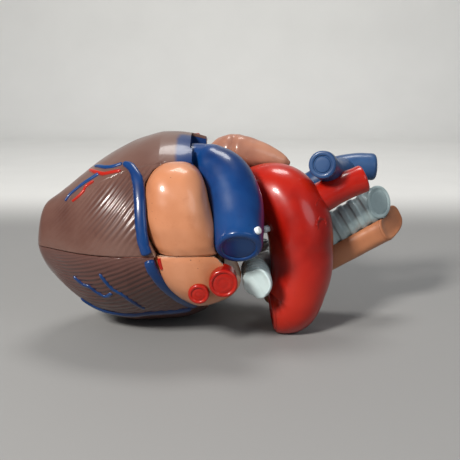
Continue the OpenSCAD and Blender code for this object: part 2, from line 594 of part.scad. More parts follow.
module front_wall() {
  color(muscle_grey) difference() {
    ventricle_half(true);
    auricle_body(2);
    auricle_body(seat_gap);
    trunk_way();
    translate([0, 0, pulmonary_seat.z - 18]) linear_extrude(height = 70) polygon(trunk_side);
    linear_extrude(height = 200) polygon(auricle_foot);
    rod(pulmonary_seat - [11, 0, 0], pulmonary_seat + [6, 0, 0], outflow_r, 40);
    rod(conus_room[0], conus_room[1], outflow_r, 40);
    for (p = trunk_magnet_places)
      rod(p - [magnet_t + seat_gap, 0, 0], p + [2, 0, 0], trunk_magnet_r + peg_gap, 24);
    for (p = peg_places)
      translate([p.x, p.y, split_z - peg_l]) cylinder(h = 2 * peg_l, r = peg_r + peg_gap, $fn = 24);
    for (p = magnet_places)
      translate([p.x, p.y, split_z + split_gap / 2 - 1]) cylinder(h = magnet_t + 1, r = magnet_r + peg_gap, $fn = 24);
  }
}

// Room for the pulmonary trunk and for its way up
module trunk_way() {
  tube(trunk_path, trunk_ref, 24, seat_gap);
  rod(pulmonary_seat - [seat_gap, 0, 0], pulmonary_seat + [13, 0, 0], trunk_seat_r + seat_gap, 40);
  translate([0, 0, pulmonary_seat.z - 3]) linear_extrude(height = 60) polygon(trunk_up);
}

// The room in the left auricle, open to the atrium below
auricle_room = [[-0.02, -45.5, -16, 8 - auricle_w, -26, -50], [0.12, -49, -16, 6 - auricle_w, -26, -51],
  [0.3, -53, -17, 5 - auricle_w, -26, -51.5], [0.46, -54, -18, 6 - auricle_w, -27, -51.5],
  [0.64, -53, -20, 10 - auricle_w, -30, -51], [0.78, -50, -24, 16 - auricle_w, -34, -50],
  [0.88, -45, -28, 24 - auricle_w, -40, -49]];

module left_auricle() {
  color(atrium_pink) difference() {
    auricle_body();
    trunk_way();
    skin([for (s = auricle_room) auricle_ring(s, 0)], [-31, -48, split_z - 2], [-35, -48, split_z + 0.9 * auricle_h]);
  }
}

module upper_cardiac_vein() {
  color(vein_blue) vessel(upper_vein_line, vein_rise);
}

module anterior_artery() {
  color(artery_red) {
    vessel(front_artery_line, 0.5 * vein_rise);
    vessel(front_artery_branch, 0.4 * vein_rise);
  }
}

module anterior_veins() {
  color(vein_blue) {
    vessel(front_vein_line, 0.5 * vein_rise);
    vessel(front_vein_branch, 0.4 * vein_rise);
  }
}

module right_coronary_artery() {
  color(artery_red) vessel(right_coronary_line, 0.6 * vein_rise);
}

module front_pegs() {
  color(bare_steel) for (p = peg_places)
    translate([p.x, p.y, split_z - peg_l]) cylinder(h = 2 * peg_l - 0.02, r = peg_r, $fn = 24);
}

module rim_discs() {
  color(bare_steel) for (p = magnet_places)
    translate([p.x, p.y, split_z + split_gap / 2]) cylinder(h = magnet_t - 0.02, r = magnet_r, $fn = 24);
}

module pulmonary_valve() {
  color(inner_cream) valve(pulmonary_seat - [10, 0, 0], [1, 0, 0], outflow_r, 3, 8);
}

// ---- nodes: pulmonary trunk ------------------------------------------------------------------

module trunk_magnet() {
  color(bare_steel) for (p = trunk_magnet_places)
    rod(p - [magnet_t + seat_gap, 0, 0], p - [seat_gap, 0, 0], trunk_magnet_r, 24);
}

module trunk_disc() {
  color(bare_steel) for (p = trunk_magnet_places)
    rod(p, p + [magnet_t, 0, 0], trunk_magnet_r, 24);
}

function last(path) = place(path[len(path) - 1]);
function last_r(path) = path[len(path) - 1][3];
function end_way(path) = heading(path, len(path) - 1);
cut_recess = 2.5;
cut_rim = 4;

// Shallow recess in the cut end of a vessel
module end_recess(path) {
  rod(last(path) - cut_recess * end_way(path), last(path) + 2 * cut_recess * end_way(path),
    last_r(path) - cut_rim, 40);
}

module pulmonary_trunk() {
  color(vein_blue) difference() {
    union() {
      tube(trunk_path, trunk_ref, 24);
      rod(pulmonary_seat, pulmonary_seat + [12, 0, 0], trunk_seat_r, 40);
    }
    end_recess(trunk_path);
    rod(pulmonary_seat - [8, 0, 0], pulmonary_seat + [12.5, 0, 0], outflow_r, 40);
    for (p = trunk_magnet_places)
      rod(p - [4, 0, 0], p + [magnet_t + 0.02, 0, 0], trunk_magnet_r + peg_gap, 24);
    socket(trunk_stub_line, stub_r);
  }
}

// Hole that the stub on a line from its foot to its end stands in
module socket(line, r) {
  way = unit(line[1] - line[0]);
  rod(line[0] - stub_gap * way, line[1] + way, r + stub_gap, 32);
}

trunk_stub_line = [[26, -76, split_z + 19.3], [30.5, -78.8, split_z + 22]];
aorta_stub_line = [[43, -20, split_z + 12], [35.5, -24.2, split_z + 10]];
stub_r = 3;

module trunk_ligament_stub() {
  color(inner_cream) rod(trunk_stub_line[0], trunk_stub_line[1], stub_r, 24);
}

// ---- nodes: right auricle --------------------------------------------------------------------

dome_h = right_auricle_h;
dome_list = [[-35, 46, ra_w - 18, 0.3 * dome_h, 0, 0], [-33, 38, ra_w - 10, 0.52 * dome_h, 0, 0],
  [-24, 32, ra_w - 2, 0.8 * dome_h, 0, 0], [-18, 30.6, ra_w, 0.9 * dome_h, 0, 0.7 * dome_h],
  [-15, 30.6, ra_w, 0.94 * dome_h, 0, 0.74 * dome_h], [-13.4, 42.8, ra_w, 0.95 * dome_h, 0, 0.76 * dome_h],
  [4, 43, ra_w, dome_h, 0, 0.8 * dome_h], [22, 43, ra_w - 2, 0.97 * dome_h, 0, 0.76 * dome_h],
  [34, 43, ra_w - 8, 0.85 * dome_h, 0, 0.4 * dome_h], [43, 45, ra_w - 17, 0.66 * dome_h, 0, 0],
  [47, 49, ra_w - 26, 0.38 * dome_h, 0, 0]];
dome_a = [-36, 60, split_z - 5];
dome_b = [48.5, 58, split_z - 8];
lobe_path = curve([[6, 62, split_z + 42, 16], [0, 49, split_z + 57, 17], [3, 39, split_z + 67, 15.5],
  [14, 33.5, split_z + 71, 15], [31, 32, split_z + 68, 12.5], [45, 31, split_z + 64.8, 9.3],
  [55, 29.5, split_z + 62, 6], [60, 29, split_z + 60.5, 2.5]], 3);

module right_auricle() {
  color(atrium_pink) difference() {
    union() {
      translate([0, 0, 2 * split_z]) mirror([0, 0, 1]) bowl(dome_list, dome_a, dome_b);
      tube(lobe_path, [0, 0, 1], 20);
    }
    for (p = auricle_peg_places)
      translate([p.x, p.y, split_z - 1]) cylinder(h = peg_l + 1, r = peg_r + peg_gap, $fn = 24);
  }
}

module auricle_pegs() {
  color(bare_steel) for (p = auricle_peg_places)
    translate([p.x, p.y, split_z - peg_l]) cylinder(h = 2 * peg_l - 0.02, r = peg_r, $fn = 24);
}

// ---- nodes: great vessels --------------------------------------------------------------------

aortic_r = outflow_r + 3;
aortic_seat = [root_x, 17, split_z + 16.2];
carotid_line = [[74.6, -16.9, split_z + 26], [84, -24, split_z + 30]];
subclavian_line = [[77, -24, split_z + 16], [84, -32.6, split_z + 17]];
airway_peg_at = [72, split_z - 17.5];

// Cut end of a branch that stands proud of the arch: a line from its foot to its end
module arch_branch(line, r) {
  way = unit(line[1] - line[0]);
  difference() {
    rod(line[0], line[1], r, 32);
    rod(line[1] - 0.8 * way, line[1] + way, r - 2, 32);
  }
}

module aorta() {
  color(artery_red) difference() {
    tube(aorta_path, [0, 1, 0], 28);
    translate([-200, -200, -40]) cube([400, 400, 40]);
    translate([root_x - 60, -60, 0]) cube([60, 160, 200]);
    end_recess(aorta_path);
    rod(aortic_seat - [4, 0, 0], aortic_seat + [14, 0, 0], aortic_r, 40);
    for (p = root_peg_places)
      rod(p - [5, 0, 0], p + [root_peg_l + 0.5, 0, 0], root_peg_r + peg_gap, 24);
    rod([airway_peg_at.x, 2, airway_peg_at.y], [airway_peg_at.x, 30, airway_peg_at.y], peg_r + peg_gap, 24);
    tube(brachio_path, [0, 1, 0], 20, stub_gap);
    socket(carotid_line, carotid_r);
    socket(subclavian_line, subclavian_r);
    socket(aorta_stub_line, stub_r);
  }
}

module brachiocephalic_trunk() {
  color(artery_red) difference() {
    tube(brachio_path, [0, 1, 0], 20);
    end_recess(brachio_path);
    socket(carotid_line, carotid_r);
    socket(subclavian_line, subclavian_r);
  }
}

module left_carotid_stub() {
  color(artery_red) arch_branch(carotid_line, carotid_r);
}

module left_subclavian_stub() {
  color(artery_red) difference() {
    arch_branch(subclavian_line, subclavian_r);
    socket(carotid_line, carotid_r);
  }
}

module aorta_ligament_stub() {
  color(inner_cream) rod(aorta_stub_line[0], aorta_stub_line[1], stub_r, 24);
}

module aortic_valve() {
  color(inner_cream) valve(aortic_seat + [3, 0, 0], [1, 0, 0], aortic_r, 3, 8);
}

module superior_vena_cava() {
  color(vein_blue) difference() {
    tube(cava_path, [0, 1, 0], 20);
    end_recess(cava_path);
    tube(left_vein_path, [0, 0, 1], 20, stub_gap);
  }
}

vein_start = left_vein_path[0];
vein_start_way = heading(left_vein_path, 0);

module left_brachiocephalic_vein() {
  color(vein_blue) difference() {
    tube(left_vein_path, [0, 0, 1], 20);
    tube(brachio_path, [0, 1, 0], 20, stub_gap);
    rod(place(vein_start) + cut_recess * vein_start_way, place(vein_start) - 2 * cut_recess * vein_start_way,
      vein_start[3] - cut_rim, 40);
  }
}

module aorta_pegs() {
  color(bare_steel) for (p = root_peg_places)
    rod(p - [root_peg_l, 0, 0], p + [root_peg_l, 0, 0], root_peg_r, 24);
}

// ---- nodes: airway ---------------------------------------------------------------------------

// Pipe with raised rings, standing on its end; h long
module ringed(r, h) {
  n = floor((h - 4) / ring_step);
  w = 0.28 * ring_step;
  rotate_extrude($fn = 48) polygon(concat([[0, 0], [r, 0]],
    [for (i = [0:n - 1]) let (z = 3 + ring_step * i)
      each [[r, z], [r + ring_h, z + 0.35 * w], [r + ring_h, z + 1.65 * w], [r, z + 2 * w]]],
    [[r, h], [0, h]]));
}

// All that lies past a slanted cut through the point top, drop below it, of a pipe with that tilt
module past(top, tilt, slant, drop = 0) {
  translate(top) rotate([0, 90 - tilt, 0]) rotate([slant, 0, 0])
    translate([-40, -40, -drop]) cube([80, 80, 80]);
}

module trachea() {
  slant_l = ring_r * tan(trachea_slant) + 1;
  color(airway_pale) difference() {
    translate(trachea_low) rotate([0, 90 - airway_tilt, 0]) ringed(trachea_r, trachea_l + slant_l);
    past(trachea_top, airway_tilt, trachea_slant);
    intersection() {
      rod(along(trachea_top, -20), along(trachea_top, 20), trachea_r - 3, 40);
      past(trachea_top, airway_tilt, trachea_slant, slant_recess);
    }
    rod([airway_peg_at.x, 2, airway_peg_at.y], [airway_peg_at.x, airway_y - 3, airway_peg_at.y],
      peg_r + peg_gap, 24);
  }
}

bronchus_end = [30, -52, split_z - 28];
bronchus_bend = [30, 2, split_z - 28.5];
carina = along(trachea_low, 8);
right_bronchus_end = [34, 68, split_z - 27];

module left_bronchus() {
  color(airway_pale) difference() {
    union() {
      translate(bronchus_end) rotate([-90, 0, 0]) ringed(bronchus_r, bronchus_bend.y - bronchus_end.y);
      translate(bronchus_bend) sphere(r = bronchus_r + 0.4, $fn = 40);
      rod(bronchus_bend, carina, bronchus_r, 40);
    }
    rod(along(trachea_low, -30), along(trachea_low, 40), ring_r + stub_gap, 48);
    translate(bronchus_end) rotate([0, 0, -32]) translate([-40, -40, -30]) cube([80, 40, 60]);
  }
}

module right_bronchus() {
  color(airway_pale) difference() {
    rod(carina, right_bronchus_end, bronchus_r, 40);
    rod(along(trachea_low, -30), along(trachea_low, 40), ring_r + stub_gap, 48);
    rod(right_bronchus_end - 0.1 * (right_bronchus_end - carina), right_bronchus_end + (right_bronchus_end - carina),
      bronchus_r - stub_wall, 32);
  }
}

oeso_dir = [cos(oeso_tilt), 0, sin(oeso_tilt)];
oeso_top = trachea_top + [12.5, 3, -19.6];
slant_recess = 1.2;
function soft_box(w, t) = [for (j = [0:31]) let (a = 360 * j / 32, c = cos(a), d = sin(a))
  [t / 2 * pow(abs(c), 0.7) * sign(c), w / 2 * pow(abs(d), 0.7) * sign(d)]];

module oesophagus() {
  slant_l = oeso_w / 2 * tan(oeso_slant) + 1;
  color(oeso_tan) difference() {
    translate(oeso_top - oeso_l * oeso_dir) rotate([0, 90 - oeso_tilt, 0])
      linear_extrude(height = oeso_l + slant_l) polygon(soft_box(oeso_w, oeso_t));
    past(oeso_top, oeso_tilt, oeso_slant);
    rod(along(trachea_low, -60), along(trachea_top, 60), ring_r + stub_gap, 48);
  }
}

module airway_peg() {
  color(bare_steel)
    rod([airway_peg_at.x, airway_y - 3.2, airway_peg_at.y], [airway_peg_at.x, 3, airway_peg_at.y], peg_r, 24);
}

// The middle of the model's outline seen from above goes to the origin
module centred() {
  translate([-middle.x, -middle.y, 0]) children();
}

centred() posterior_wall();
centred() left_atrium();
centred() right_atrium();
centred() left_upper_pulmonary_vein();
centred() left_lower_pulmonary_vein();
centred() right_upper_pulmonary_vein();
centred() right_lower_pulmonary_vein();
centred() right_pulmonary_artery();
centred() inferior_vena_cava();
centred() lower_cardiac_vein();
centred() middle_cardiac_vein();
centred() posterior_vein_branches();
centred() circumflex_artery();
centred() mitral_valve();
centred() tricuspid_valve();
centred() left_papillary_muscles();
centred() right_papillary_muscles();
centred() left_chordae();
centred() right_chordae();
centred() rim_magnets();
centred() stand_socket();
centred() front_wall();
centred() left_auricle();
centred() upper_cardiac_vein();
centred() anterior_artery();
centred() anterior_veins();
centred() right_coronary_artery();
centred() front_pegs();
centred() rim_discs();
centred() pulmonary_valve();
centred() trunk_magnet();
centred() pulmonary_trunk();
centred() trunk_disc();
centred() trunk_ligament_stub();
centred() right_auricle();
centred() auricle_pegs();
centred() aorta();
centred() brachiocephalic_trunk();
centred() left_carotid_stub();
centred() left_subclavian_stub();
centred() aorta_ligament_stub();
centred() aortic_valve();
centred() superior_vena_cava();
centred() left_brachiocephalic_vein();
centred() aorta_pegs();
centred() trachea();
centred() left_bronchus();
centred() right_bronchus();
centred() oesophagus();
centred() airway_peg();
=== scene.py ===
"""Teaching model of the human heart, lying on its back on a pale table, seen from its left side.

Lengths are worked out in millimetres, as in the part's source, and go into the meshes in metres.
"""
import math

import bpy
import numpy as np
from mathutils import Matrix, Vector


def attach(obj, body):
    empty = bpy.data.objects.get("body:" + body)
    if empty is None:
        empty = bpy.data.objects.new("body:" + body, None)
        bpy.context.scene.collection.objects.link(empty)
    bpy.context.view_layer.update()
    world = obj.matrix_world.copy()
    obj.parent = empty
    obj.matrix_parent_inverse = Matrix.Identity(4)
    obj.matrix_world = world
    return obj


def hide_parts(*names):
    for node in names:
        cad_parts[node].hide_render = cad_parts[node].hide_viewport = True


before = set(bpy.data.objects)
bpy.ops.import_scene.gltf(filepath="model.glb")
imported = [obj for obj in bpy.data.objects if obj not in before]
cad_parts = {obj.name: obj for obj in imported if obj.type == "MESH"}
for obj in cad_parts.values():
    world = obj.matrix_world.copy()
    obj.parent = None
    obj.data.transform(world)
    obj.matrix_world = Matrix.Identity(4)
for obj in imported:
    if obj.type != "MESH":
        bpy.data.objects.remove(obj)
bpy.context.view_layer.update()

# ---- sizes of the model, in millimetres -------------------------------------------------------

MIDDLE = np.array([8.55, 5.8, 0.0])     # middle of the outline seen from above
VENT_L, BASE_X, SPLIT_Z, TOP_H, NEAR_W, FAR_W = 140.5, -13.0, 82.0, 90.0, 80.0, 84.0
LOW_H = SPLIT_Z + 2.4
APEX_X, APEX_Y, RIDGE_TOP, RIDGE_LOW = BASE_X - VENT_L, -28.0, 2.0, 36.0
HALF_GAP = 0.15
SEAT_GAP = 0.3
PROUD = 0.35                            # how far the painted skins stand over the plain solids
DEGREE = 1.42                           # about a degree of the wall's section, along the skin
TRUNK_X, TRUNK_Y, TRUNK_UP = -25.0, -13.0, 66.0     # middle of the trunk's seat, the last over the split


# ---- arrays and curves ------------------------------------------------------------------------

def unit(v):
    """Each vector divided by its length."""
    return v / np.maximum(np.linalg.norm(v, axis=-1, keepdims=True), 1e-12)


def ramp(x, a, b):
    """0 up to a, 1 from b on, and 3u^2 - 2u^3 between them."""
    u = np.clip((np.asarray(x, float) - a) / (b - a), 0, 1)
    return u * u * (3 - 2 * u)


def drift(*p, seed=0.0):
    """Slow, seamless unevenness from -1 to 1: a sum of sines of the arrays at unrelated rates."""
    total = 0.0
    for k, (rate, turn) in enumerate([(1.0, 0.3), (1.71, 2.1), (2.63, 4.4), (4.17, 1.2)]):
        phase = seed * (k + 1.3) + turn
        for j, q in enumerate(p):
            phase = phase + rate * q * (1.0 if (j + k) % 2 else -0.83) + 1.9 * np.sin(0.57 * rate * q + j + seed)
        total = total + np.sin(phase) / (1 + 0.6 * k)
    return total / 2.4


def through(points, k):
    """Catmull-Rom curve: k steps between each two points, each a cubic with the neighbours' slopes."""
    p = np.asarray(points, float)
    p = np.vstack([2 * p[0] - p[1], p, 2 * p[-1] - p[-2]])
    u = (np.arange(k) / k)[:, None, None]
    a, b, c, d = p[:-3], p[1:-2], p[2:-1], p[3:]
    q = 0.5 * (2 * b + (c - a) * u + (2 * a - 5 * b + 4 * c - d) * u**2 + (3 * b - a - 3 * c + d) * u**3)
    return np.vstack([q.transpose(1, 0, 2).reshape(-1, p.shape[1]), p[-2]])


def rows_between(rows, m):
    """m rows through the given ones: a cubic between two rows whose slopes never overshoot them."""
    y = np.asarray(rows, float)
    step = np.diff(y, axis=0)
    mean = 2 * step[1:] * step[:-1] / np.where(step[1:] + step[:-1] == 0, 1, step[1:] + step[:-1])
    slope = np.vstack([step[:1], np.where(step[1:] * step[:-1] > 0, mean, 0), step[-1:]])
    x = np.linspace(0, len(y) - 1, m)
    i = np.minimum(x.astype(int), len(y) - 2)
    u = (x - i)[:, None]
    return ((1 + 2 * u) * (1 - u)**2 * y[i] + u * (1 - u)**2 * slope[i]
            + u * u * (3 - 2 * u) * y[i + 1] + u * u * (u - 1) * slope[i + 1])


def normals_of(grid):
    """Unit normal of a grid of points: the cross product of its two directions."""
    return unit(np.cross(np.gradient(grid, axis=0), np.gradient(grid, axis=1)))


def turned_out(grid, middle):
    """Unit normals of a grid, each turned to the side away from the middle."""
    out = normals_of(grid)
    return out * np.sign(np.sum(out * (grid - middle), axis=-1, keepdims=True))


def outward(rings):
    """Unit direction of each point away from the middle of its ring."""
    return unit(rings - rings.mean(axis=1, keepdims=True))


def unevenness(grid, x, y, z, seed):
    """Drift over a surface, with a length for each axis that its points are divided by."""
    return drift(grid[..., 0] / x, grid[..., 1] / y, grid[..., 2] / z, seed=seed)


def once_round(n):
    """n equal steps of the angle, from 0 on."""
    return np.linspace(0, 2 * np.pi, n, endpoint=False)


def straight(foot, tip, r, n):
    """Path of a straight pipe: n rows of [x, y, z, radius]."""
    return np.column_stack([np.linspace(foot, tip, n), np.full(n, r)])


def kept_clear(points, line, radius):
    """Points nearer to the line than its radius are pushed straight out to the radius."""
    flat = points.reshape(-1, 3)
    out = flat.copy()
    for i in range(0, len(flat), 20000):
        part = flat[i:i + 20000]
        gap = part[:, None] - line[None]
        far = np.linalg.norm(gap, axis=2)
        best = np.argmin(far - radius, axis=1)
        rows = np.arange(len(part))
        short = far[rows, best] < radius[best]
        moved = line[best] + unit(gap[rows, best]) * radius[best][:, None]
        out[i:i + 20000] = np.where(short[:, None], moved, part)
    return out.reshape(points.shape)


# ---- meshes -----------------------------------------------------------------------------------

def add_piece(name, points, faces, body, material, finish, replaces=(), marks=None, sharp=38):
    """A closed mesh of triangles that rides on a body; marks are named numbers for each point."""
    p = (points - MIDDLE) / 1000
    a, b, c = (p[faces[:, k]] for k in range(3))
    if np.einsum("ij,ij->", a, np.cross(b, c)) < 0:
        faces = faces[:, ::-1]
    mesh = bpy.data.meshes.new(name)
    mesh.vertices.add(len(p))
    mesh.vertices.foreach_set("co", p.astype(np.float32).ravel())
    mesh.loops.add(faces.size)
    mesh.loops.foreach_set("vertex_index", faces.astype(np.int32).ravel())
    mesh.polygons.add(len(faces))
    mesh.polygons.foreach_set("loop_start", np.arange(0, faces.size, 3, dtype=np.int32))
    mesh.polygons.foreach_set("loop_total", np.full(len(faces), 3, dtype=np.int32))
    mesh.polygons.foreach_set("use_smooth", np.ones(len(faces), dtype=bool))
    mesh.update(calc_edges=True)
    mesh.validate()
    mesh.set_sharp_from_angle(angle=math.radians(sharp))
    for mark, values in (marks or {}).items():
        layer = mesh.attributes.new(mark, "FLOAT", "POINT")
        layer.data.foreach_set("value", np.broadcast_to(values, len(p)).astype(np.float32))
    mesh.materials.append(material)
    obj = bpy.data.objects.new(name, mesh)
    bpy.context.scene.collection.objects.link(obj)
    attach(obj, body)
    if replaces:
        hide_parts(*replaces)


def closed_rings(rings, first=None, last=None):
    """Surface through closed rings (m, n, 3), with a pole at each end: the rings' middles unless given."""
    m, n = rings.shape[:2]
    first = rings[0].mean(axis=0) if first is None else np.asarray(first, float)
    last = rings[-1].mean(axis=0) if last is None else np.asarray(last, float)
    points = np.vstack([rings.reshape(-1, 3), first, last])
    i = np.arange(m * n).reshape(m, n)
    j = np.roll(i, -1, axis=1)
    sides = [np.stack([i[:-1], j[:-1], j[1:]], -1), np.stack([i[:-1], j[1:], i[1:]], -1)]
    poles = [np.stack([np.full(n, m * n), j[0], i[0]], -1), np.stack([np.full(n, m * n + 1), i[-1], j[-1]], -1)]
    return points, np.vstack([part.reshape(-1, 3) for part in sides + poles])


def add_rings(name, rings, body, material, finish, replaces=(), sharp=38):
    """A piece whose surface goes through closed rings."""
    add_piece(name, *closed_rings(rings), body, material, finish, replaces, sharp=sharp)


def closed_shell(outer, inner):
    """Two grids (m, k, 3) as the faces of one thin shell, joined by strips round the four edges."""
    m, k = outer.shape[:2]
    i = np.arange(m * k).reshape(m, k)
    o = i + m * k

    def cells(a, b, c, d):
        return np.vstack([np.stack([a, b, c], -1).reshape(-1, 3), np.stack([a, c, d], -1).reshape(-1, 3)])

    faces = [cells(i[:-1, :-1], i[:-1, 1:], i[1:, 1:], i[1:, :-1]),
             cells(o[:-1, :-1], o[1:, :-1], o[1:, 1:], o[:-1, 1:])]
    for edge, back in ((i[0], o[0]), (i[-1][::-1], o[-1][::-1]), (i[::-1, 0], o[::-1, 0]), (i[:, -1], o[:, -1])):
        faces.append(cells(edge[:-1], back[:-1], back[1:], edge[1:]))
    return np.vstack([outer.reshape(-1, 3), inner.reshape(-1, 3)]), np.vstack(faces)


def frames_along(path, ref):
    """Heading of a path and two directions across it, the first as near to ref as can be."""
    t = unit(np.gradient(path[:, :3], axis=0))
    e = unit(ref - np.sum(t * ref, axis=1, keepdims=True) * t)
    return t, e, np.cross(t, e)


def pipe(path, ref, n=96, start=(), end=()):
    """Round pipe along a path of [x, y, z, radius]. start and end are lists of [reach past the end,
    radius], measured from the path's end, which draw the rim and the recess of a cut end."""
    path = np.asarray(path, float)
    t, e, f = frames_along(path, np.asarray(ref, float))
    angle = once_round(n)
    across = np.cos(angle)[None, :, None] * e[:, None] + np.sin(angle)[None, :, None] * f[:, None]
    keep = np.ones(len(path), bool)
    for rim, i, sign in ((start, 0, -1), (end, -1, 1)):
        if len(rim):
            reach = -rim[0][0] if sign > 0 else -rim[-1][0]
            keep &= np.linalg.norm(path[:, :3] - path[i, :3], axis=1) > reach + 0.4
    rings = [path[keep, None, :3] + path[keep, 3][:, None, None] * across[keep]]
    if len(start):
        rim = np.asarray(start, float)
        rings.insert(0, path[0, :3] - rim[:, 0][:, None, None] * t[0] + rim[:, 1][:, None, None] * across[0][None])
    if len(end):
        rim = np.asarray(end, float)
        rings.append(path[-1, :3] + rim[:, 0][:, None, None] * t[-1] + rim[:, 1][:, None, None] * across[-1][None])
    return np.vstack(rings)


def cut_end(r, rim, deep, soft=1.4, lip=0.5):
    """Profile of a cut end from the wall to the middle: a rounded rim, a groove and a raised round."""
    q = np.linspace(0, np.pi / 2, 6)[:, None]
    edge = np.hstack([-soft + soft * np.sin(q), r - soft + soft * np.cos(q)])
    inner = r - rim
    return np.vstack([edge, [[0.05, inner + 0.9], [-0.25, inner + 0.35], [-deep, inner], [-deep, inner - 0.7],
                             [-deep + lip, inner - 1.5], [-deep + lip * 1.15, inner - 3.0],
                             [-deep + lip * 1.2, 0.4 * inner], [-deep + lip * 1.2, 0.02]]])


# ---- paint ------------------------------------------------------------------------------------

class Value:
    """A socket of a shader on which the usual signs work."""

    def __init__(self, paint, socket):
        self.paint, self.socket = paint, socket

    def sum(self, operation, a, b=0.5, clamp=False):
        return self.paint.node("ShaderNodeMath", [a, b], operation=operation, use_clamp=clamp)

    def __add__(self, b): return self.sum("ADD", self, b)
    def __radd__(self, b): return self.sum("ADD", b, self)
    def __sub__(self, b): return self.sum("SUBTRACT", self, b)
    def __rsub__(self, b): return self.sum("SUBTRACT", b, self)
    def __mul__(self, b): return self.sum("MULTIPLY", self, b)
    def __rmul__(self, b): return self.sum("MULTIPLY", b, self)
    def __truediv__(self, b): return self.sum("DIVIDE", self, b)
    def __pow__(self, b): return self.sum("POWER", self, b)


class Paint:
    """A material with one Principled shader."""

    def __init__(self, name):
        self.material = bpy.data.materials.new(name)
        self.material.use_nodes = True
        self.tree = self.material.node_tree
        self.tree.nodes.clear()
        self.shader = self.tree.nodes.new("ShaderNodeBsdfPrincipled")
        out = self.tree.nodes.new("ShaderNodeOutputMaterial")
        self.tree.links.new(self.shader.outputs[0], out.inputs[0])
        self.place = self.node("ShaderNodeTexCoord", output="Object")

    def node(self, kind, inputs=(), output=0, stops=None, **settings):
        """A node of any kind: its settings first, then the values or links of its sockets."""
        made = self.tree.nodes.new(kind)
        for key, setting in settings.items():
            setattr(made, key, setting)
        if stops:
            band = made.color_ramp
            while len(band.elements) < len(stops):
                band.elements.new(0.5)
            for element, (at, colour) in zip(band.elements, stops):
                element.position = at
                element.color = (*colour, 1)
        pairs = inputs.items() if isinstance(inputs, dict) else enumerate(inputs)
        for key, given in pairs:
            self.put(made.inputs[key], given)
        return Value(self, made.outputs[output])

    def put(self, socket, given):
        if isinstance(given, Value):
            self.tree.links.new(given.socket, socket)
        elif hasattr(given, "__len__") and len(given) == 3 and socket.type == "RGBA":
            socket.default_value = (*given, 1)
        else:
            socket.default_value = given

    def noise(self, scale, detail=2.0, rough=0.5, place=None, warp=0.0):
        return self.node("ShaderNodeTexNoise", {"Vector": place or self.place, "Scale": scale, "Detail": detail,
                                                "Roughness": rough, "Distortion": warp})

    def band(self, value, a, b, low=0.0, high=1.0):
        """low below a, high over b, and smooth between them."""
        return self.node("ShaderNodeMapRange", {"Value": value, "From Min": a, "From Max": b, "To Min": low,
                                                "To Max": high}, interpolation_type="SMOOTHSTEP")

    def blend(self, share, a, b, way="MIX"):
        made = self.tree.nodes.new("ShaderNodeMix")
        made.data_type, made.blend_type = "RGBA", way
        self.put(made.inputs[0], share)
        self.put(made.inputs[6], a)
        self.put(made.inputs[7], b)
        return Value(self, made.outputs[2])

    def mark(self, name):
        return self.node("ShaderNodeAttribute", output="Fac", attribute_name=name)

    def axis(self, k):
        return self.node("ShaderNodeSeparateXYZ", [self.place], output=k)

    def finish(self, colour, rough, bumps=(), **fixed):
        """bumps are pairs of a height in millimetres and its value; fixed are plain socket values."""
        self.put(self.shader.inputs["Base Color"], colour)
        self.put(self.shader.inputs["Roughness"], rough)
        normal = None
        for height, value in bumps:
            sockets = {"Height": value, "Distance": height / 1000, "Strength": 1.0}
            if normal is not None:
                sockets["Normal"] = normal
            normal = self.node("ShaderNodeBump", sockets)
        if normal is not None:
            self.put(self.shader.inputs["Normal"], normal)
        for socket, number in fixed.items():
            self.put(self.shader.inputs[socket.replace("_", " ")], number)
        return self.material


def enamel(name, main, deep, light, rough=0.27, coat=0.35, specks=0.0, lumps=0.12, marks=None):
    """Brushed gloss paint on a cast body: main colour clouded with a deeper and a lighter one, fine
    brush grain, dull patches where hands have been, and a few dark specks."""
    p = Paint(name)
    cloud = p.noise(16, 3, 0.55)
    fine = p.noise(120, 4, 0.6)
    grain = p.noise(900, 2, 0.5)
    colour = p.blend(p.band(cloud, 0.42, 0.72), main, light)
    colour = p.blend(p.band(cloud, 0.52, 0.3) * 0.8, colour, deep)
    colour = p.blend(p.band(fine, 0.5, 0.75) * 0.22, colour, light)
    colour = p.blend(p.band(fine, 0.45, 0.25) * 0.3, colour, deep)
    if marks:
        colour = marks(p, colour, cloud, fine)
    if specks:
        dots = p.node("ShaderNodeTexVoronoi", {"Vector": p.place, "Scale": 230.0, "Randomness": 1.0})
        rare = p.band(p.noise(40, 1, 0.5), 0.6, 0.68)
        colour = p.blend(p.band(dots, 0.14, 0.08) * rare * specks, colour, [0.06, 0.04, 0.035])
    dull = p.band(p.noise(34, 4, 0.62), 0.35, 0.75)
    roughness = rough + dull * 0.14 + grain * 0.05
    return p.finish(colour, roughness, [(lumps * 2.2, p.noise(38, 2, 0.5)), (lumps * 0.35, fine), (0.012, grain)],
                    Coat_Weight=coat * 0.8, Coat_Roughness=0.11, Specular_IOR_Level=0.3)


BROWN, BROWN_DEEP, BROWN_PALE = [0.104, 0.045, 0.033], [0.064, 0.023, 0.017], [0.140, 0.074, 0.058]
MAUVE = [0.122, 0.048, 0.042]
PINK, PINK_DEEP, PINK_PALE = [0.470, 0.185, 0.086], [0.380, 0.140, 0.062], [0.540, 0.240, 0.130]
LOBE, LOBE_DEEP, LOBE_PALE = [0.370, 0.165, 0.105], [0.240, 0.105, 0.072], [0.470, 0.230, 0.145]
RED, RED_DEEP, RED_PALE = [0.350, 0.006, 0.001], [0.200, 0.004, 0.001], [0.400, 0.014, 0.003]
BLUE, BLUE_DEEP, BLUE_PALE = [0.001, 0.030, 0.135], [0.0005, 0.014, 0.076], [0.004, 0.046, 0.170]
NAVY, NAVY_DEEP, NAVY_PALE = [0.014, 0.050, 0.145], [0.005, 0.020, 0.070], [0.030, 0.080, 0.190]
PALE, PALE_DEEP, PALE_LIGHT = [0.400, 0.500, 0.500], [0.250, 0.330, 0.340], [0.560, 0.660, 0.660]
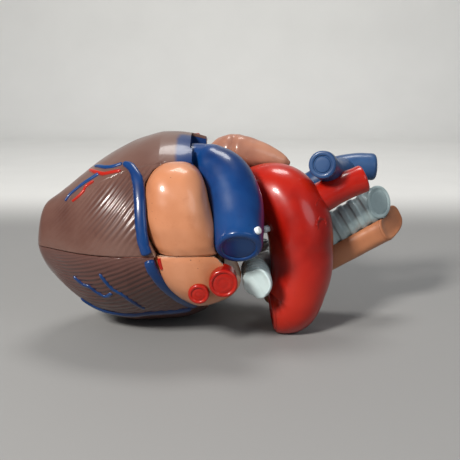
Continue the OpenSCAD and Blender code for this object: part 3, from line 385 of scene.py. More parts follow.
TAN, TAN_DEEP, TAN_PALE = [0.390, 0.148, 0.066], [0.250, 0.100, 0.056], [0.460, 0.200, 0.100]
CREAM, CREAM_DEEP, CREAM_PALE = [0.560, 0.400, 0.290], [0.420, 0.260, 0.180], [0.660, 0.520, 0.400]


def muscle_marks(p, colour, cloud, fine):
    """Painted shade darkens the furrows between the strands and a painted highlight pales the strands, the
    underside is mauve, a painted sheen makes the top greyer and paler as the sky's reflection would, and the outflow
    is airbrushed blue."""
    colour = p.blend(p.mark("mauve"), colour, p.blend(cloud, MAUVE, BROWN_DEEP))
    # painted sheen: the top and the far side are blended towards a paler grey, where the sky would reflect on the
    # gloss
    colour = p.blend(p.mark("top_sheen") * 0.35, colour, [0.140, 0.086, 0.070])
    # painted shade in the furrows between the strands, and on the next line a painted highlight on the strands' tops
    colour = p.blend(p.band(p.mark("strand_shading"), 0.35, 0.9) * 0.55, colour, [0.060, 0.026, 0.022])
    colour = p.blend(p.band(p.mark("strand_shading"), 0.35, 0.0) * 0.16, colour, BROWN_PALE)
    edge = p.mark("blue") + (fine - 0.5) * 0.35
    return p.blend(p.band(edge, 0.2, 0.75), colour, p.blend(cloud, BLUE, BLUE_DEEP))


def cut_face_marks(p, colour, cloud, fine):
    """The flat faces of the split are bare muscle red, the chambers inside are cream, and the end of the
    front wall round the pulmonary seat is blue that fades into brown."""
    x, y, z = p.axis(0), p.axis(1) - (TRUNK_Y - MIDDLE[1]) / 1000, p.axis(2)
    flat = p.band(p.node("ShaderNodeMath", [z - SPLIT_Z / 1000], operation="ABSOLUTE"), 0.0006, 0.0003)
    lined = p.blend(cloud, CREAM, [0.52, 0.30, 0.22])
    up = z - (SPLIT_Z + TRUNK_UP) / 1000
    off = (y * y + up * up) ** 0.5
    end = p.band(x, (TRUNK_X - 6 - MIDDLE[0]) / 1000, (TRUNK_X - 5 - MIDDLE[0]) / 1000)
    end = end * p.band(z, (SPLIT_Z + 38) / 1000, (SPLIT_Z + 40) / 1000)
    painted = p.blend(p.band(off, 0.040, 0.030), BROWN, p.blend(cloud, BLUE, BLUE_DEEP))
    lined = p.blend(end * p.band(off, 0.0108, 0.0112), lined, painted)
    return p.blend(flat, lined, p.blend(fine, [0.260, 0.085, 0.068], [0.180, 0.055, 0.042]))


MUSCLE = enamel("muscle_enamel", BROWN, BROWN_DEEP, BROWN_PALE, rough=0.30, coat=0.4, marks=muscle_marks)
INSIDE = enamel("chamber_enamel", CREAM, CREAM_DEEP, CREAM_PALE, rough=0.42, coat=0.1, marks=cut_face_marks)
ATRIUM = enamel("atrium_enamel", PINK, PINK_DEEP, PINK_PALE, rough=0.30, coat=0.4, specks=0.8)
LOBE_PAINT = enamel("lobe_enamel", LOBE, LOBE_DEEP, LOBE_PALE, rough=0.30, coat=0.35, specks=0.5)
ATRIUM_IN = enamel("atrium_lining", CREAM, PINK_DEEP, CREAM_PALE, rough=0.42, coat=0.1)
ARTERY = enamel("artery_enamel", RED, RED_DEEP, RED_PALE, rough=0.26, coat=0.45)
VEIN = enamel("vein_enamel", BLUE, BLUE_DEEP, BLUE_PALE, rough=0.27, coat=0.45)
VEIN_NAVY = enamel("navy_enamel", NAVY, NAVY_DEEP, NAVY_PALE, rough=0.34, coat=0.25)
AIRWAY = enamel("airway_enamel", PALE, PALE_DEEP, PALE_LIGHT, rough=0.32, coat=0.3)
GULLET = enamel("gullet_enamel", TAN, TAN_DEEP, TAN_PALE, rough=0.34, coat=0.25)
WHITE = enamel("ligament_enamel", [0.62, 0.66, 0.68], [0.42, 0.46, 0.50], [0.76, 0.79, 0.80], rough=0.24, coat=0.5)
LEAFLET = enamel("leaflet_enamel", CREAM_PALE, CREAM, [0.74, 0.62, 0.50], rough=0.34, coat=0.3, lumps=0.06)


def bare_steel():
    """Turned steel: fine rings of tool marks, and wear that dulls it in patches."""
    p = Paint("turned_steel")
    marks = p.noise(2600, 2, 0.6, place=p.node("ShaderNodeMapping", {"Vector": p.place, "Scale": (0.15, 0.15, 1.0)}))
    wear = p.band(p.noise(70, 3, 0.6), 0.4, 0.7)
    return p.finish(p.blend(wear, [0.60, 0.61, 0.63], [0.44, 0.43, 0.42]), 0.22 + wear * 0.2 + marks * 0.08,
                    [(0.01, marks)], Metallic=1.0)


STEEL = bare_steel()


# ---- the wall of the ventricles ---------------------------------------------------------------

def swell(t, full, b, blunt=0.27):
    """Growth from the blunt apex to the full size at the part full of the length."""
    grow = (1 - (1 - np.minimum(1, t / full))**2)**(3 * b)
    return np.minimum(1, (grow + (blunt * (1 - np.exp(-t * VENT_L / 3)))**3)**(1 / 3))


def over(t, a):
    return (np.maximum(0, t - a) / (1 - a))**2


def near_y(t):
    return APEX_Y - (NEAR_W + APEX_Y) * swell(t, 0.62, 0.95) + 14 * over(t, 0.66)


def far_y(t):
    return APEX_Y + (FAR_W - APEX_Y) * swell(t, 0.85, 0.6) - 12 * over(t, 0.8)


def wall(t, a):
    """Point of the wall: t from the apex to the base, and a round the section in degrees, 0 at the far
    edge, 90 in front, 180 at the near edge and 270 at the back. Each quarter is an ellipse about the
    ridge, and the lower near quarter is drawn in by a power of 1.34."""
    t, a = np.broadcast_arrays(np.asarray(t, float), np.radians(np.asarray(a, float)))
    up, far = np.sin(a) >= 0, np.cos(a) >= 0
    ridge = APEX_Y + (np.where(up, RIDGE_TOP, RIDGE_LOW) - APEX_Y) * swell(t, 0.9, 0.8)
    high = np.where(up, TOP_H * swell(t, 0.87, 0.85, 0.38) * (1 - 0.05 * over(t, 0.8)),
                    LOW_H * swell(t, 0.62, 0.72) * (1 - 0.12 * over(t, 0.78)))
    plain = up | far
    c = np.where(plain, np.cos(a), -np.abs(np.cos(a))**1.34)
    v = np.where(plain, np.sin(a), -np.abs(np.sin(a))**1.34)
    width = np.where(far, far_y(t) - ridge, ridge - near_y(t))
    return np.stack([APEX_X + VENT_L * t, ridge + width * c, SPLIT_Z + high * v], -1)


def strands(x, v, slope, step):
    """Height from 0 to 1 of long parallel strands that climb at the slope, with the step between them."""
    s, c = math.sin(math.radians(slope)), math.cos(math.radians(slope))
    across = (v * c - x * s) / step
    across = across + 0.28 * drift(x / 31, v / 27, seed=2) + 0.10 * drift(x / 9, v / 8, seed=5)
    along = (x * c + v * s)
    wave = 0.5 + 0.5 * np.sin(2 * np.pi * across)
    return wave**0.8 * (0.78 + 0.22 * drift(along / 19, across * 0.9, seed=9))


# ---- bowls of the atria and their places ------------------------------------------------------

LA_H, RA_H, RA_W, DOME_H = 47.0, 58.0, 90.0, 64.0
LA_LIST = np.array([[-51.5, -70, -28, 0.2 * LA_H, 0], [-49, -75, -18, 0.4 * LA_H, 0],
                    [-45, -77, -9, 0.56 * LA_H, 0], [-38, -78, -4, 0.75 * LA_H, 0], [-29, -78, -2, 0.9 * LA_H, 0],
                    [-17, -77, -2, LA_H, 0], [-5, -74, -3, 0.94 * LA_H, 1], [3, -71, -5, 0.7 * LA_H, 9],
                    [9, -66, -9, 0.5 * LA_H, 15], [13.5, -58, -17, 0.3 * LA_H, 20],
                    [15.6, -50, -25, 0.12 * LA_H, 24]])
RA_LIST = np.array([[-34.5, 48, RA_W - 18, 18, 0], [-31, 41, RA_W - 8, 34, 0], [-24, 37, RA_W - 2, 0.8 * RA_H, 0],
                    [-18, 36, RA_W, 0.94 * RA_H, 0], [-9, 35.5, RA_W, RA_H, 0], [0, 35.5, RA_W, 0.97 * RA_H, 0],
                    [6, 37, RA_W - 2, 0.88 * RA_H, 0], [12, 40, RA_W - 7, 0.66 * RA_H, 0],
                    [15, 46, RA_W - 15, 0.35 * RA_H, 0]])
DOME_LIST = np.array([[-35, 46, RA_W - 18, 0.3, 0], [-33, 38, RA_W - 10, 0.52, 0], [-24, 32, RA_W - 2, 0.8, 0],
                      [-18, 30.6, RA_W, 0.9, 0.7], [-15, 30.6, RA_W, 0.94, 0.74], [-13.4, 42.8, RA_W, 0.95, 0.76],
                      [4, 43, RA_W, 1, 0.8], [22, 43, RA_W - 2, 0.97, 0.76], [34, 43, RA_W - 8, 0.85, 0.4],
                      [43, 45, RA_W - 17, 0.66, 0], [47, 49, RA_W - 26, 0.38, 0]])
AURICLE_H, AURICLE_W = 70.0, 82.0
AURICLE_LIST = np.array([[0, -50.5, 1, -78, -18, -48], [0.12, -54.5, -1, -81, -18, -49.5],
                         [0.3, -59.2, -5, -82, -18, -50], [0.46, -60.5, -8, -81, -19, -50],
                         [0.64, -60.5, -11, -78, -21, -49], [0.8, -58.5, -14, -73, -24, -47],
                         [0.92, -53, -19, -65, -28, -44.5], [0.985, -45, -26, -55, -34, -42]])
BOX_POWER = 2 / 0.7


def full_round(c, power=0.7):
    return np.abs(c)**power * np.sign(c)


def in_bowl(points, rows, near=None):
    """Under 0 inside a bowl below the split, from the rows [x, near y, far y, depth, drop]."""
    x, y, z = np.moveaxis(points, -1, 0)
    lo, hi, deep, drop = (np.interp(x, rows[:, 0], rows[:, k]) for k in (1, 2, 3, 4))
    lo = lo if near is None else near
    side = (np.abs(y - (lo + hi) / 2) / ((hi - lo) / 2 + SEAT_GAP))**BOX_POWER
    down = (np.maximum(0, SPLIT_Z - drop - z) / (deep + SEAT_GAP))**BOX_POWER
    return np.where((x > rows[0, 0] - 0.5) & (x < rows[-1, 0] + 1) & (z < SPLIT_Z + 1), side + down - 1, 1.0)


def in_auricle(points):
    """Under 0 inside the left auricle's room in the front wall, open towards the viewer."""
    x, y, z = np.moveaxis(points, -1, 0)
    h = (z - SPLIT_Z) / AURICLE_H
    left, right, far, wide = (np.interp(h, AURICLE_LIST[:, 0], AURICLE_LIST[:, k]) for k in (1, 2, 4, 5))
    side = (np.abs(x - (left + right) / 2) / ((right - left) / 2 + SEAT_GAP))**BOX_POWER
    back = (np.maximum(0, y - wide) / (far - wide + SEAT_GAP))**BOX_POWER
    top = (h - 0.985) * 30
    return np.where(h > -0.02, np.maximum(side + back - 1, top), 1.0)


def trimmed_ends(a, inside):
    """For each angle, the first t at which the wall enters one of the neighbours' rooms."""
    t = np.linspace(0.02, 1, 900)
    value = inside(wall(t[:, None], a[None, :]))
    hit = value < 0
    first = np.where(hit.any(axis=0), np.argmax(hit, axis=0), len(t) - 1)
    before = np.maximum(first - 1, 0)
    col = np.arange(len(a))
    v0, v1 = value[before, col], value[first, col]
    share = np.where(hit.any(axis=0) & (first > 0), np.clip(v0 / np.where(v0 - v1 == 0, 1, v0 - v1), 0, 1), 1.0)
    return t[before] + share * (t[first] - t[before])


def front_rooms(p):
    """Rooms that the front wall leaves free: left auricle, pulmonary trunk and right auricle."""
    x, y, z = np.moveaxis(p, -1, 0)
    past = TRUNK_X - SEAT_GAP - x
    trunk = np.maximum(np.maximum(past, np.abs(y - TRUNK_Y) - 17.5), SPLIT_Z + 60 - z)
    seat = np.maximum(past, np.hypot(y - TRUNK_Y, z - SPLIT_Z - TRUNK_UP) - 16.9)
    side = np.maximum.reduce([-23.5 - x, y + 20, -43 - 0.783 * (x + 23.5) - y, SPLIT_Z + 48 - z])
    right = np.maximum(-36 - x, 30 - y)
    return np.minimum.reduce([in_auricle(p), trunk, seat, side, right])


def back_rooms(p):
    return np.minimum(in_bowl(p, LA_LIST, near=-140), in_bowl(p, RA_LIST))


def skin_grid(a, inside, m):
    ends = trimmed_ends(a, inside)
    share = np.linspace(0, 1, m)**1.15
    t = 0.0006 + (ends[None, :] - 0.0006) * share[:, None]
    return t, np.broadcast_to(a[None, :], t.shape)


def muscle_skin(name, body, low, high, inside, fine):
    """Painted outer skin of one half of the ventricles, from the apex to its neighbours, with the strands
    of the muscle raised over the near side and rounded edges along the split."""
    turns = np.interp(np.linspace(0, 1, 250), *fine)
    t, a = skin_grid(turns, inside, 190)
    base = wall(t, a)
    along = wall(np.minimum(t + 0.004, 1), a) - wall(np.maximum(t - 0.004, 0.0004), a)
    around = wall(t, np.minimum(a + 0.3, high - 0.01)) - wall(t, np.maximum(a - 0.3, low + 0.01))
    out = unit(np.cross(around, along))
    up = high <= 180
    from_split = (180 - a) * DEGREE if up else (a - 180) * DEGREE
    from_far = (a - low) * DEGREE if up else (high - a) * DEGREE
    if up:
        height = strands(base[..., 0], from_split, 51, 4.6)
        reach = ramp(a, 122, 140) * ramp(t, 0.08, 0.22) * (0.45 + 0.55 * ramp(t, 0.25, 0.5))
        reach = reach * (1 - ramp(t, 0.74, 0.82))
        fade = ramp(from_split, 0, 26) * 0.75 + 0.25
        size = 0.78
    else:
        height = strands(base[..., 0], -from_split, 31, 4.7)
        reach = ramp(a, 268, 236) * ramp(t, 0.06, 0.2) + 0.22 * ramp(a, 236, 268)
        fade = ramp(from_split, 0, 30) * 0.8 + 0.2
        size = 0.70
    mask = reach * fade
    uneven = 0.35 * unevenness(base, 23, 19, 21, seed=1)
    rise = PROUD + 0.55 + uneven + size * mask * (height - 0.35)
    rise = PROUD + (rise - PROUD) * ramp(t, 0.0, 0.06)
    edge = np.minimum(np.abs(from_split), np.abs(from_far))
    rise = rise - 1.15 * (1 - ramp(edge, 0, 1.7))**2 * ramp(t, 0.01, 0.06)
    outer = base + out * rise[..., None]
    inner = base - out * 1.3
    gap = SPLIT_Z + HALF_GAP if up else SPLIT_Z - HALF_GAP
    clip = np.maximum if up else np.minimum
    for grid, floor in ((outer, 0.0), (inner, 0.8)):
        grid[..., 2] = np.maximum(clip(grid[..., 2], gap), floor)
        grid[:, 0, 2] = gap
        grid[:, -1, 2] = gap
    points, faces = closed_shell(outer, inner)
    blue = ramp(t, 0.800, 0.872) * ramp(a, 88, 110) * (a < 179) if up else 0 * t
    # the top is marked for a painted sheen, paler and greyer where the sky would reflect
    top_sheen = ramp(a, 140, 108) * ramp(t, 0.05, 0.3) if up else 0 * t
    # the furrows between the strands are marked for painted shade, and their tops for a painted highlight
    marks = {"strand_shading": np.clip(1 - height, 0, 1) * mask, "top_sheen": top_sheen, "blue": blue,
             "mauve": np.full_like(t, 0.0 if up else 0.75)}
    marks = {key: np.concatenate([v.ravel(), v.ravel()]) for key, v in marks.items()}
    add_piece(name, points, faces, body, MUSCLE, "myocardium", marks=marks, sharp=55)


# Angles of the skins' lines, close together over the near side and at the steps of the trimmed edge
FRONT_TURNS = ([0, 0.012, 0.3, 0.62, 0.988, 1], [0.0, 1.2, 62, 118, 178.8, 180])
BACK_TURNS = ([0, 0.012, 0.62, 0.985, 1], [180.0, 181.2, 250, 358.8, 360])
muscle_skin("front_muscle", "front_wall", 0, 180, front_rooms, FRONT_TURNS)
muscle_skin("back_muscle", "heart_base", 180, 360, back_rooms, BACK_TURNS)


# ---- atria ------------------------------------------------------------------------------------

def bowl_rings(rows, m, n, side=-1, flat=SPLIT_Z - HALF_GAP):
    """Rings of a bowl: half a rounded box below (or, with side 1, above) the flat, from rows of
    [x, near y, far y, depth, drop]."""
    x, near, far, deep, drop = rows_between(rows, m).T[..., None]
    q = np.linspace(np.pi, 2 * np.pi, n)
    y = (near + far) / 2 + (far - near) / 2 * full_round(np.cos(q))
    z = flat + side * (drop - deep * full_round(np.sin(q)))
    return np.stack([np.broadcast_to(x, y.shape), y, z], -1)


TRUNK_PATH = through([[TRUNK_X, TRUNK_Y, SPLIT_Z + TRUNK_UP, 16.0], [-20, -13.3, SPLIT_Z + 65.9, 16.2],
                      [-14.5, -15, SPLIT_Z + 65.1, 16.9], [-8, -18.4, SPLIT_Z + 62.8, 19.4],
                      [3, -26, SPLIT_Z + 54.5, 22], [11, -40, SPLIT_Z + 38.5, 22.5], [14, -55, SPLIT_Z + 22, 21],
                      [14.5, -75, SPLIT_Z + 6, 18.5]], 12)


def bowl_skin(name, rows):
    """Painted skin over the outside of a bowl, thin and closed, with its edge along the split."""
    ends = np.vstack([rows[:1] * [1, 1, 1, 0.25, 1], rows, rows[-1:] * [1, 1, 1, 0.3, 1]])
    mid = (rows[0, 1] + rows[0, 2]) / 2, (rows[-1, 1] + rows[-1, 2]) / 2
    ends[0, :3] = [rows[0, 0] - 0.5, mid[0] - 6, mid[0] + 6]
    ends[-1, :3] = [rows[-1, 0] + 0.6, mid[1] - 5, mid[1] + 5]
    grid = bowl_rings(ends, 150, 130)
    out = turned_out(grid, [rows[:, 0].mean(), (rows[:, 1].mean() + rows[:, 2].mean()) / 2, SPLIT_Z])
    uneven = 0.5 * unevenness(grid, 15, 17, 14, seed=3)
    edge = np.abs(grid[..., 2] - (SPLIT_Z - HALF_GAP))
    rise = PROUD + 0.5 + uneven - 0.9 * (1 - ramp(edge, 0, 1.6))**2
    outer = grid + out * rise[..., None]
    inner = grid - out * 1.2
    for g in (outer, inner):
        g[..., 2] = np.minimum(g[..., 2], SPLIT_Z - HALF_GAP)
    outer = kept_clear(outer, TRUNK_PATH[:, :3], TRUNK_PATH[:, 3] + SEAT_GAP)
    points, faces = closed_shell(outer, inner)
    add_piece(name, points, faces, "heart_base", ATRIUM, "atrium_pink", sharp=60)


bowl_skin("left_atrium_skin", LA_LIST)
bowl_skin("right_atrium_skin", RA_LIST)


def auricle_rings(rows, m, n, flat):
    """Level rings of the left auricle: rounded boxes from rows of [height share, left, right, near, far,
    the y where it is widest]."""
    share, left, right, near, far, widest = rows_between(rows, m).T[..., None]
    q = once_round(n)
    x = (left + right) / 2 + (right - left) / 2 * full_round(np.cos(q))
    c = full_round(np.sin(q))
    y = widest + np.where(c > 0, far - widest, widest - near) * c
    return np.stack([x, y, np.broadcast_to(flat + AURICLE_H * share, x.shape)], -1)


def left_auricle():
    """Pillow of the left auricle with its room, open below: level rounded boxes outside and inside,
    pressed clear of the pulmonary trunk, with soft dents and rounded lower edges."""
    flat = SPLIT_Z + HALF_GAP
    cap = np.vstack([AURICLE_LIST, [1.0, -38.5, -31, -47, -39.5, -42.5]])
    outside = auricle_rings(cap, 150, 220, flat)
    out = turned_out(outside, [-33, -48, SPLIT_Z + 30])
    bumps = 0.75 * unevenness(outside, 17, 19, 16, seed=4)
    edge = outside[..., 2] - flat
    rise = 0.5 + bumps - 1.1 * (1 - ramp(edge, 0, 2.0))**2
    outside = outside + out * rise[..., None]
    outside[..., 2] = np.maximum(outside[..., 2], flat)
    outside[0, :, 2] = flat
    outside = kept_clear(outside, TRUNK_PATH[:, :3], TRUNK_PATH[:, 3] + SEAT_GAP + 0.1)
    w = AURICLE_W
    room = np.array([[0, -45.5, -16, 8 - w, -26, -50], [0.12, -49, -16, 6 - w, -26, -51],
                     [0.3, -53, -17, 5 - w, -26, -51.5], [0.46, -54, -18, 6 - w, -27, -51.5],
                     [0.64, -53, -20, 10 - w, -30, -51], [0.78, -50, -24, 16 - w, -34, -50],
                     [0.88, -45, -28, 24 - w, -40, -49]])
    inside = auricle_rings(room, 60, 220, flat)
    rings = np.vstack([outside[::-1], inside])
    add_rings("left_auricle_pillow", rings, "front_wall", ATRIUM, "atrium_pink", ["left_auricle"], sharp=50)


def right_auricle():
    """Dome of the right auricle with its room, open below, and the lobe that lies over the root of the
    great vessels."""
    flat = SPLIT_Z + HALF_GAP
    rows = DOME_LIST * [1, 1, 1, DOME_H, DOME_H]
    ends = np.vstack([[-35.9, 54, 66, 0.12 * DOME_H, 0], rows, [48.3, 53, 60, 0.15 * DOME_H, 0]])
    outside = bowl_rings(ends * [1, 1, 1, 1, 0], 170, 120, side=1, flat=flat)
    out = turned_out(outside, [5, 62, SPLIT_Z + 10])
    bumps = 0.6 * unevenness(outside, 16, 15, 18, seed=6)
    outside = outside + out * (bumps * ramp(outside[..., 2], flat, flat + 6))[..., None]
    outside[..., 2] = np.maximum(outside[..., 2], flat)
    x, near, far, _, high = rows_between(ends, 170).T[..., None]
    q = np.linspace(0, np.pi, 60)
    half = np.maximum((far - near) / 2 - 5, 0.5 * (far - near) / 2)
    y = (near + far) / 2 + half * np.cos(q)
    inside = np.stack([np.broadcast_to(x, y.shape), y, flat + high * np.sin(q)], -1)
    rings = np.concatenate([outside, inside], axis=1)
    add_rings("right_auricle_dome", rings, "right_auricle", LOBE_PAINT, "atrium_pink", ["right_auricle"], sharp=50)
    lobe = through([[6, 62, SPLIT_Z + 42, 16], [0, 49, SPLIT_Z + 57, 17], [3, 39, SPLIT_Z + 67, 15.5],
                    [14, 33.5, SPLIT_Z + 71, 15], [31, 32, SPLIT_Z + 68, 12.5], [45, 31, SPLIT_Z + 64.8, 9.3],
                    [55, 29.5, SPLIT_Z + 62, 6], [60, 29, SPLIT_Z + 60.5, 2.5]], 14)
    rings = pipe(lobe, [0, 0, 1], 110, end=[[0, 2.5], [0.9, 2.0], [1.5, 1.0], [1.7, 0.2]])
    out = outward(rings)
    off = rings[..., 0] - 9 - 0.2 * (rings[..., 1] - 20)
    crease = -2.2 * np.exp(-(off / 2.6)**2) * ramp(out[..., 1], 0.4, -0.5)
    dents = 0.8 * unevenness(rings, 13, 11, 12, seed=8)
    rings = rings + out * (crease + dents)[..., None]
    add_rings("right_auricle_lobe", rings, "right_auricle", LOBE_PAINT, "atrium_pink")


left_auricle()
right_auricle()


# ---- great vessels ----------------------------------------------------------------------------

def vessel_body(name, rings, body, material, finish, replaces, seed, uneven, sharp=38):
    """Closed pipe with a slight hand-made unevenness, which fades towards the middle of a cut end."""
    away = rings - rings.mean(axis=1, keepdims=True)
    bumps = uneven * unevenness(rings, 17, 16, 15, seed) * ramp(np.linalg.norm(away, axis=-1), 3, 9)
    add_rings(name, rings + unit(away) * bumps[..., None], body, material, finish, replaces, sharp)


def seat_rings(seat, profile, y, z):
    """Rings about an x axis through the seat, from rows of [x, radius] and the points of a circle."""
    return np.stack([seat + np.stack([np.full(len(y), x), r * y, r * z], -1) for x, r in profile])


def pulmonary_trunk():
    """Blue trunk: a bore in the end on the outflow, a swelling bend and a cut end with a shallow oval."""
    end = cut_end(18.5, 5.2, 0.9, soft=2.8, lip=0.2)
    rings = pipe(TRUNK_PATH[2:], [0.15, 0, 1], 128, end=end)
    q = once_round(128)
    seat = np.array([TRUNK_X, TRUNK_Y, SPLIT_Z + TRUNK_UP])
    flange = [[12, 0.05], [12, 10.5], [0.2, 10.5], [0, 10.8], [0, 14.6], [0.2, 15.4], [0.7, 15.9]]
    start = seat_rings(seat, flange, -np.sin(q), np.cos(q))
    vessel_body("pulmonary_trunk_pipe", np.vstack([start, rings]), "pulmonary_trunk", VEIN, "vein_blue",
                ["pulmonary_trunk"], 1, 0.25)


def aorta():
    """Red arch: a seat with a bore on the base of the ventricles, a fat bend, and a cut end on the table."""
    root = BASE_X + SEAT_GAP
    ax, dr = 68.0, 25.5
    path = through([[root - 6, 17, SPLIT_Z + 15, 24], [6, 16, SPLIT_Z + 20, 24.5], [24, 13, SPLIT_Z + 28, 26],
                    [40, 6, SPLIT_Z + 35, 27.8], [54, -2, SPLIT_Z + 33, 28.5], [ax - 2, -10, SPLIT_Z + 14, 28.5],
                    [ax + 1, -14, SPLIT_Z - 10, 27.5], [ax + 1, -16, SPLIT_Z - 27, dr + 1],
                    [ax - 2, -17, dr + 16, dr], [ax - 8, -18, dr + 0.8, dr - 0.3],
                    [ax - 16, -18.5, dr - 5.1, dr - 3.5], [ax - 25, -19, dr - 6.5, dr - 8.5]], 12)
    rings = pipe(path, [0, 1, 0], 140, end=cut_end(dr - 8.5, 4, 2.2, soft=2.2, lip=0.3))
    rings[..., 0] = np.maximum(rings[..., 0], np.where(rings[..., 2] > 60, root, -99))
    seat = np.array([root, 17, SPLIT_Z + 16.2])
    q = once_round(140)
    start = seat_rings(seat, [[14, 0.05], [14, 13.5], [0, 13.5]], np.cos(q), np.sin(q))
    rings = np.vstack([start, rings])
    away = rings - rings.mean(axis=1, keepdims=True)
    bumps = 0.3 * unevenness(rings, 19, 17, 18, seed=7)
    plain = 16      # rings of the seat and of the first stretch of the arch
    bumps[:plain] = 0
    rings = rings + unit(away) * bumps[..., None] * ramp(np.linalg.norm(away, axis=-1), 3, 9)[..., None]
    rings[..., 2] = np.maximum(rings[..., 2], 0.0)
    add_rings("aorta_arch", rings, "great_vessels", ARTERY, "artery_red", ["aorta"])


BRACHIO_PATH = through([[72, -5, SPLIT_Z + 26, 14.5], [86, -4, SPLIT_Z + 34, 13.5], [104, -1, SPLIT_Z + 43, 12.5],
                        [124, 1, SPLIT_Z + 51, 12]], 12)
CAVA_Z = SPLIT_Z + 54.5
CAVA_PATH = through([[50, 51, CAVA_Z - 28, 12.5], [64, 51, CAVA_Z - 26, 12.5], [84, 51, CAVA_Z - 17, 12.5],
                     [103, 51, CAVA_Z - 5, 12.5], [122, 50, CAVA_Z, 12.5], [143, 49, CAVA_Z, 12.5]], 12)
LEFT_VEIN_PATH = through([[84, -24, SPLIT_Z + 65.5, 11.7], [87.5, -12, SPLIT_Z + 63.5, 11.7],
                          [95, 4, SPLIT_Z + 56, 11], [103, 22, SPLIT_Z + 53, 11], [110, 39, CAVA_Z - 1, 11]], 12)


def round_butt(r, soft):
    """Profile of a plain end with a rounded edge."""
    q = np.linspace(0, np.pi / 2, 7)[:, None]
    return np.vstack([np.hstack([-soft + soft * np.sin(q), r - soft + soft * np.cos(q)]), [[0, 0.4 * r], [0, 0.02]]])


def mirrored(profile):
    """The same end profile for the start of a path."""
    return profile[::-1]


def upper_vessels():
    """Brachiocephalic trunk, the two veins above it and the two cut branches of the arch."""
    rings = pipe(BRACHIO_PATH, [0, 1, 0], 100, end=cut_end(12, 3.6, 1.2, soft=2.2, lip=0.6))
    vessel_body("brachiocephalic_pipe", rings, "great_vessels", ARTERY, "artery_red",
                ["brachiocephalic_trunk"], 12, 0.5)
    rings = pipe(CAVA_PATH, [0, 1, 0], 100, end=cut_end(12.5, 5, 1.2, soft=4.2, lip=0.5))
    vessel_body("superior_vena_cava_pipe", rings, "great_vessels", VEIN_NAVY, "vein_navy",
                ["superior_vena_cava"], 13, 0.4)
    rings = pipe(LEFT_VEIN_PATH, [0, 0, 1], 110, start=mirrored(cut_end(11.7, 4.0, 1.3, soft=1.8, lip=0.8)))
    vessel_body("left_brachiocephalic_pipe", rings, "great_vessels", VEIN_NAVY, "vein_navy",
                ["left_brachiocephalic_vein"], 14, 0.25)
    stubs = [("left_carotid", [74.6, -16.9, SPLIT_Z + 26], [84, -24, SPLIT_Z + 30], 7.0, 21),
             ("left_subclavian", [77, -24, SPLIT_Z + 16], [84, -32.6, SPLIT_Z + 17], 6.0, 22)]
    for name, foot, tip, r, seed in stubs:
        end = np.array([[-1.4, r], [-0.9, r + 0.55], [-0.2, r + 0.6], [0.2, r - 0.1], [0.1, r - 1.2], [-0.5, r - 1.8],
                        [-0.7, r - 2.4], [-0.5, 0.5 * r], [-0.5, 0.02]])
        rings = pipe(straight(foot, tip, r, 24), [0, 0, 1], 90, end=end)
        turn, count = once_round(90), len(rings)
        near_tip = ramp(np.arange(count), count - 14, count - 7)[:, None]
        knobs = 0.45 * np.sin(9 * turn + 2 * np.sin(2 * turn + seed)) * near_tip
        knobs[-4:] *= 0.2       # the innermost rings of the cut face are nearly plain
        rings = rings + outward(rings) * knobs[..., None]
        add_rings(name + "_end", rings, "great_vessels", ARTERY, "artery_red", [name + "_stub"])


pulmonary_trunk()
aorta()
upper_vessels()


def short_pipes():
    """Cut veins of the atria and the two ends of the ligament, each a straight pipe with a rimmed end."""
    red, blue = (ARTERY, "artery_red"), (VEIN, "vein_blue")
    rows = [
        ("left_upper_pulmonary_vein", [1.6, -66, SPLIT_Z - 19.5], [2.5, -82, SPLIT_Z - 20.5], 11.4, red),
        ("left_lower_pulmonary_vein", [-16.7, -66, SPLIT_Z - 28.6], [-17.2, -78, SPLIT_Z - 30.6], 8.5, red),
        ("right_upper_pulmonary_vein", [2, 78, SPLIT_Z - 40], [2, 97, SPLIT_Z - 40], 8, red),
        ("right_lower_pulmonary_vein", [-15, 78, SPLIT_Z - 31], [-15, 95, SPLIT_Z - 31], 7, red),
        ("right_pulmonary_artery", [2, 78, SPLIT_Z - 16], [2, 98, SPLIT_Z - 16], 9.5, blue),
        ("inferior_vena_cava", [-8.4, 61.4, 34], [-16, 66, 8], 13, blue),
    ]
    for seed, (name, foot, tip, r, (paint, finish)) in enumerate(rows, start=30):
        end = np.vstack([cut_end(r, 3.0, 0.9, soft=1.5, lip=0.45)[:-2],
                         [[-0.42, 0.42 * r], [-0.62, 0.36 * r], [-0.62, 0.28 * r], [-0.42, 0.22 * r], [-0.42, 0.02]]])
        rings = pipe(straight(foot, tip, r, 40), [0, 0, 1], 96, end=end)
        vessel_body(name + "_pipe", rings, "heart_base", paint, finish, [name], seed, 0.25)
    ends = [("trunk_ligament", [26, -76, SPLIT_Z + 19.3], [30.5, -78.8, SPLIT_Z + 22], "pulmonary_trunk"),
            ("aorta_ligament", [43, -20, SPLIT_Z + 12], [35.5, -24.2, SPLIT_Z + 10], "great_vessels")]
    r = 3
    round_tip = [[-1.0, r], [-0.6, r - 0.12], [-0.25, r - 0.4], [0, r - 0.9], [0.05, 1.2], [0, 0.02]]
    for name, foot, tip, body in ends:
        rings = pipe(straight(foot, tip, r, 20), [0, 0, 1], 64, end=round_tip)
        vessel_body(name + "_end", rings, body, WHITE, "inner_cream", [name + "_stub"], 40, 0.1)


short_pipes()


# ---- vessels on the wall ----------------------------------------------------------------------

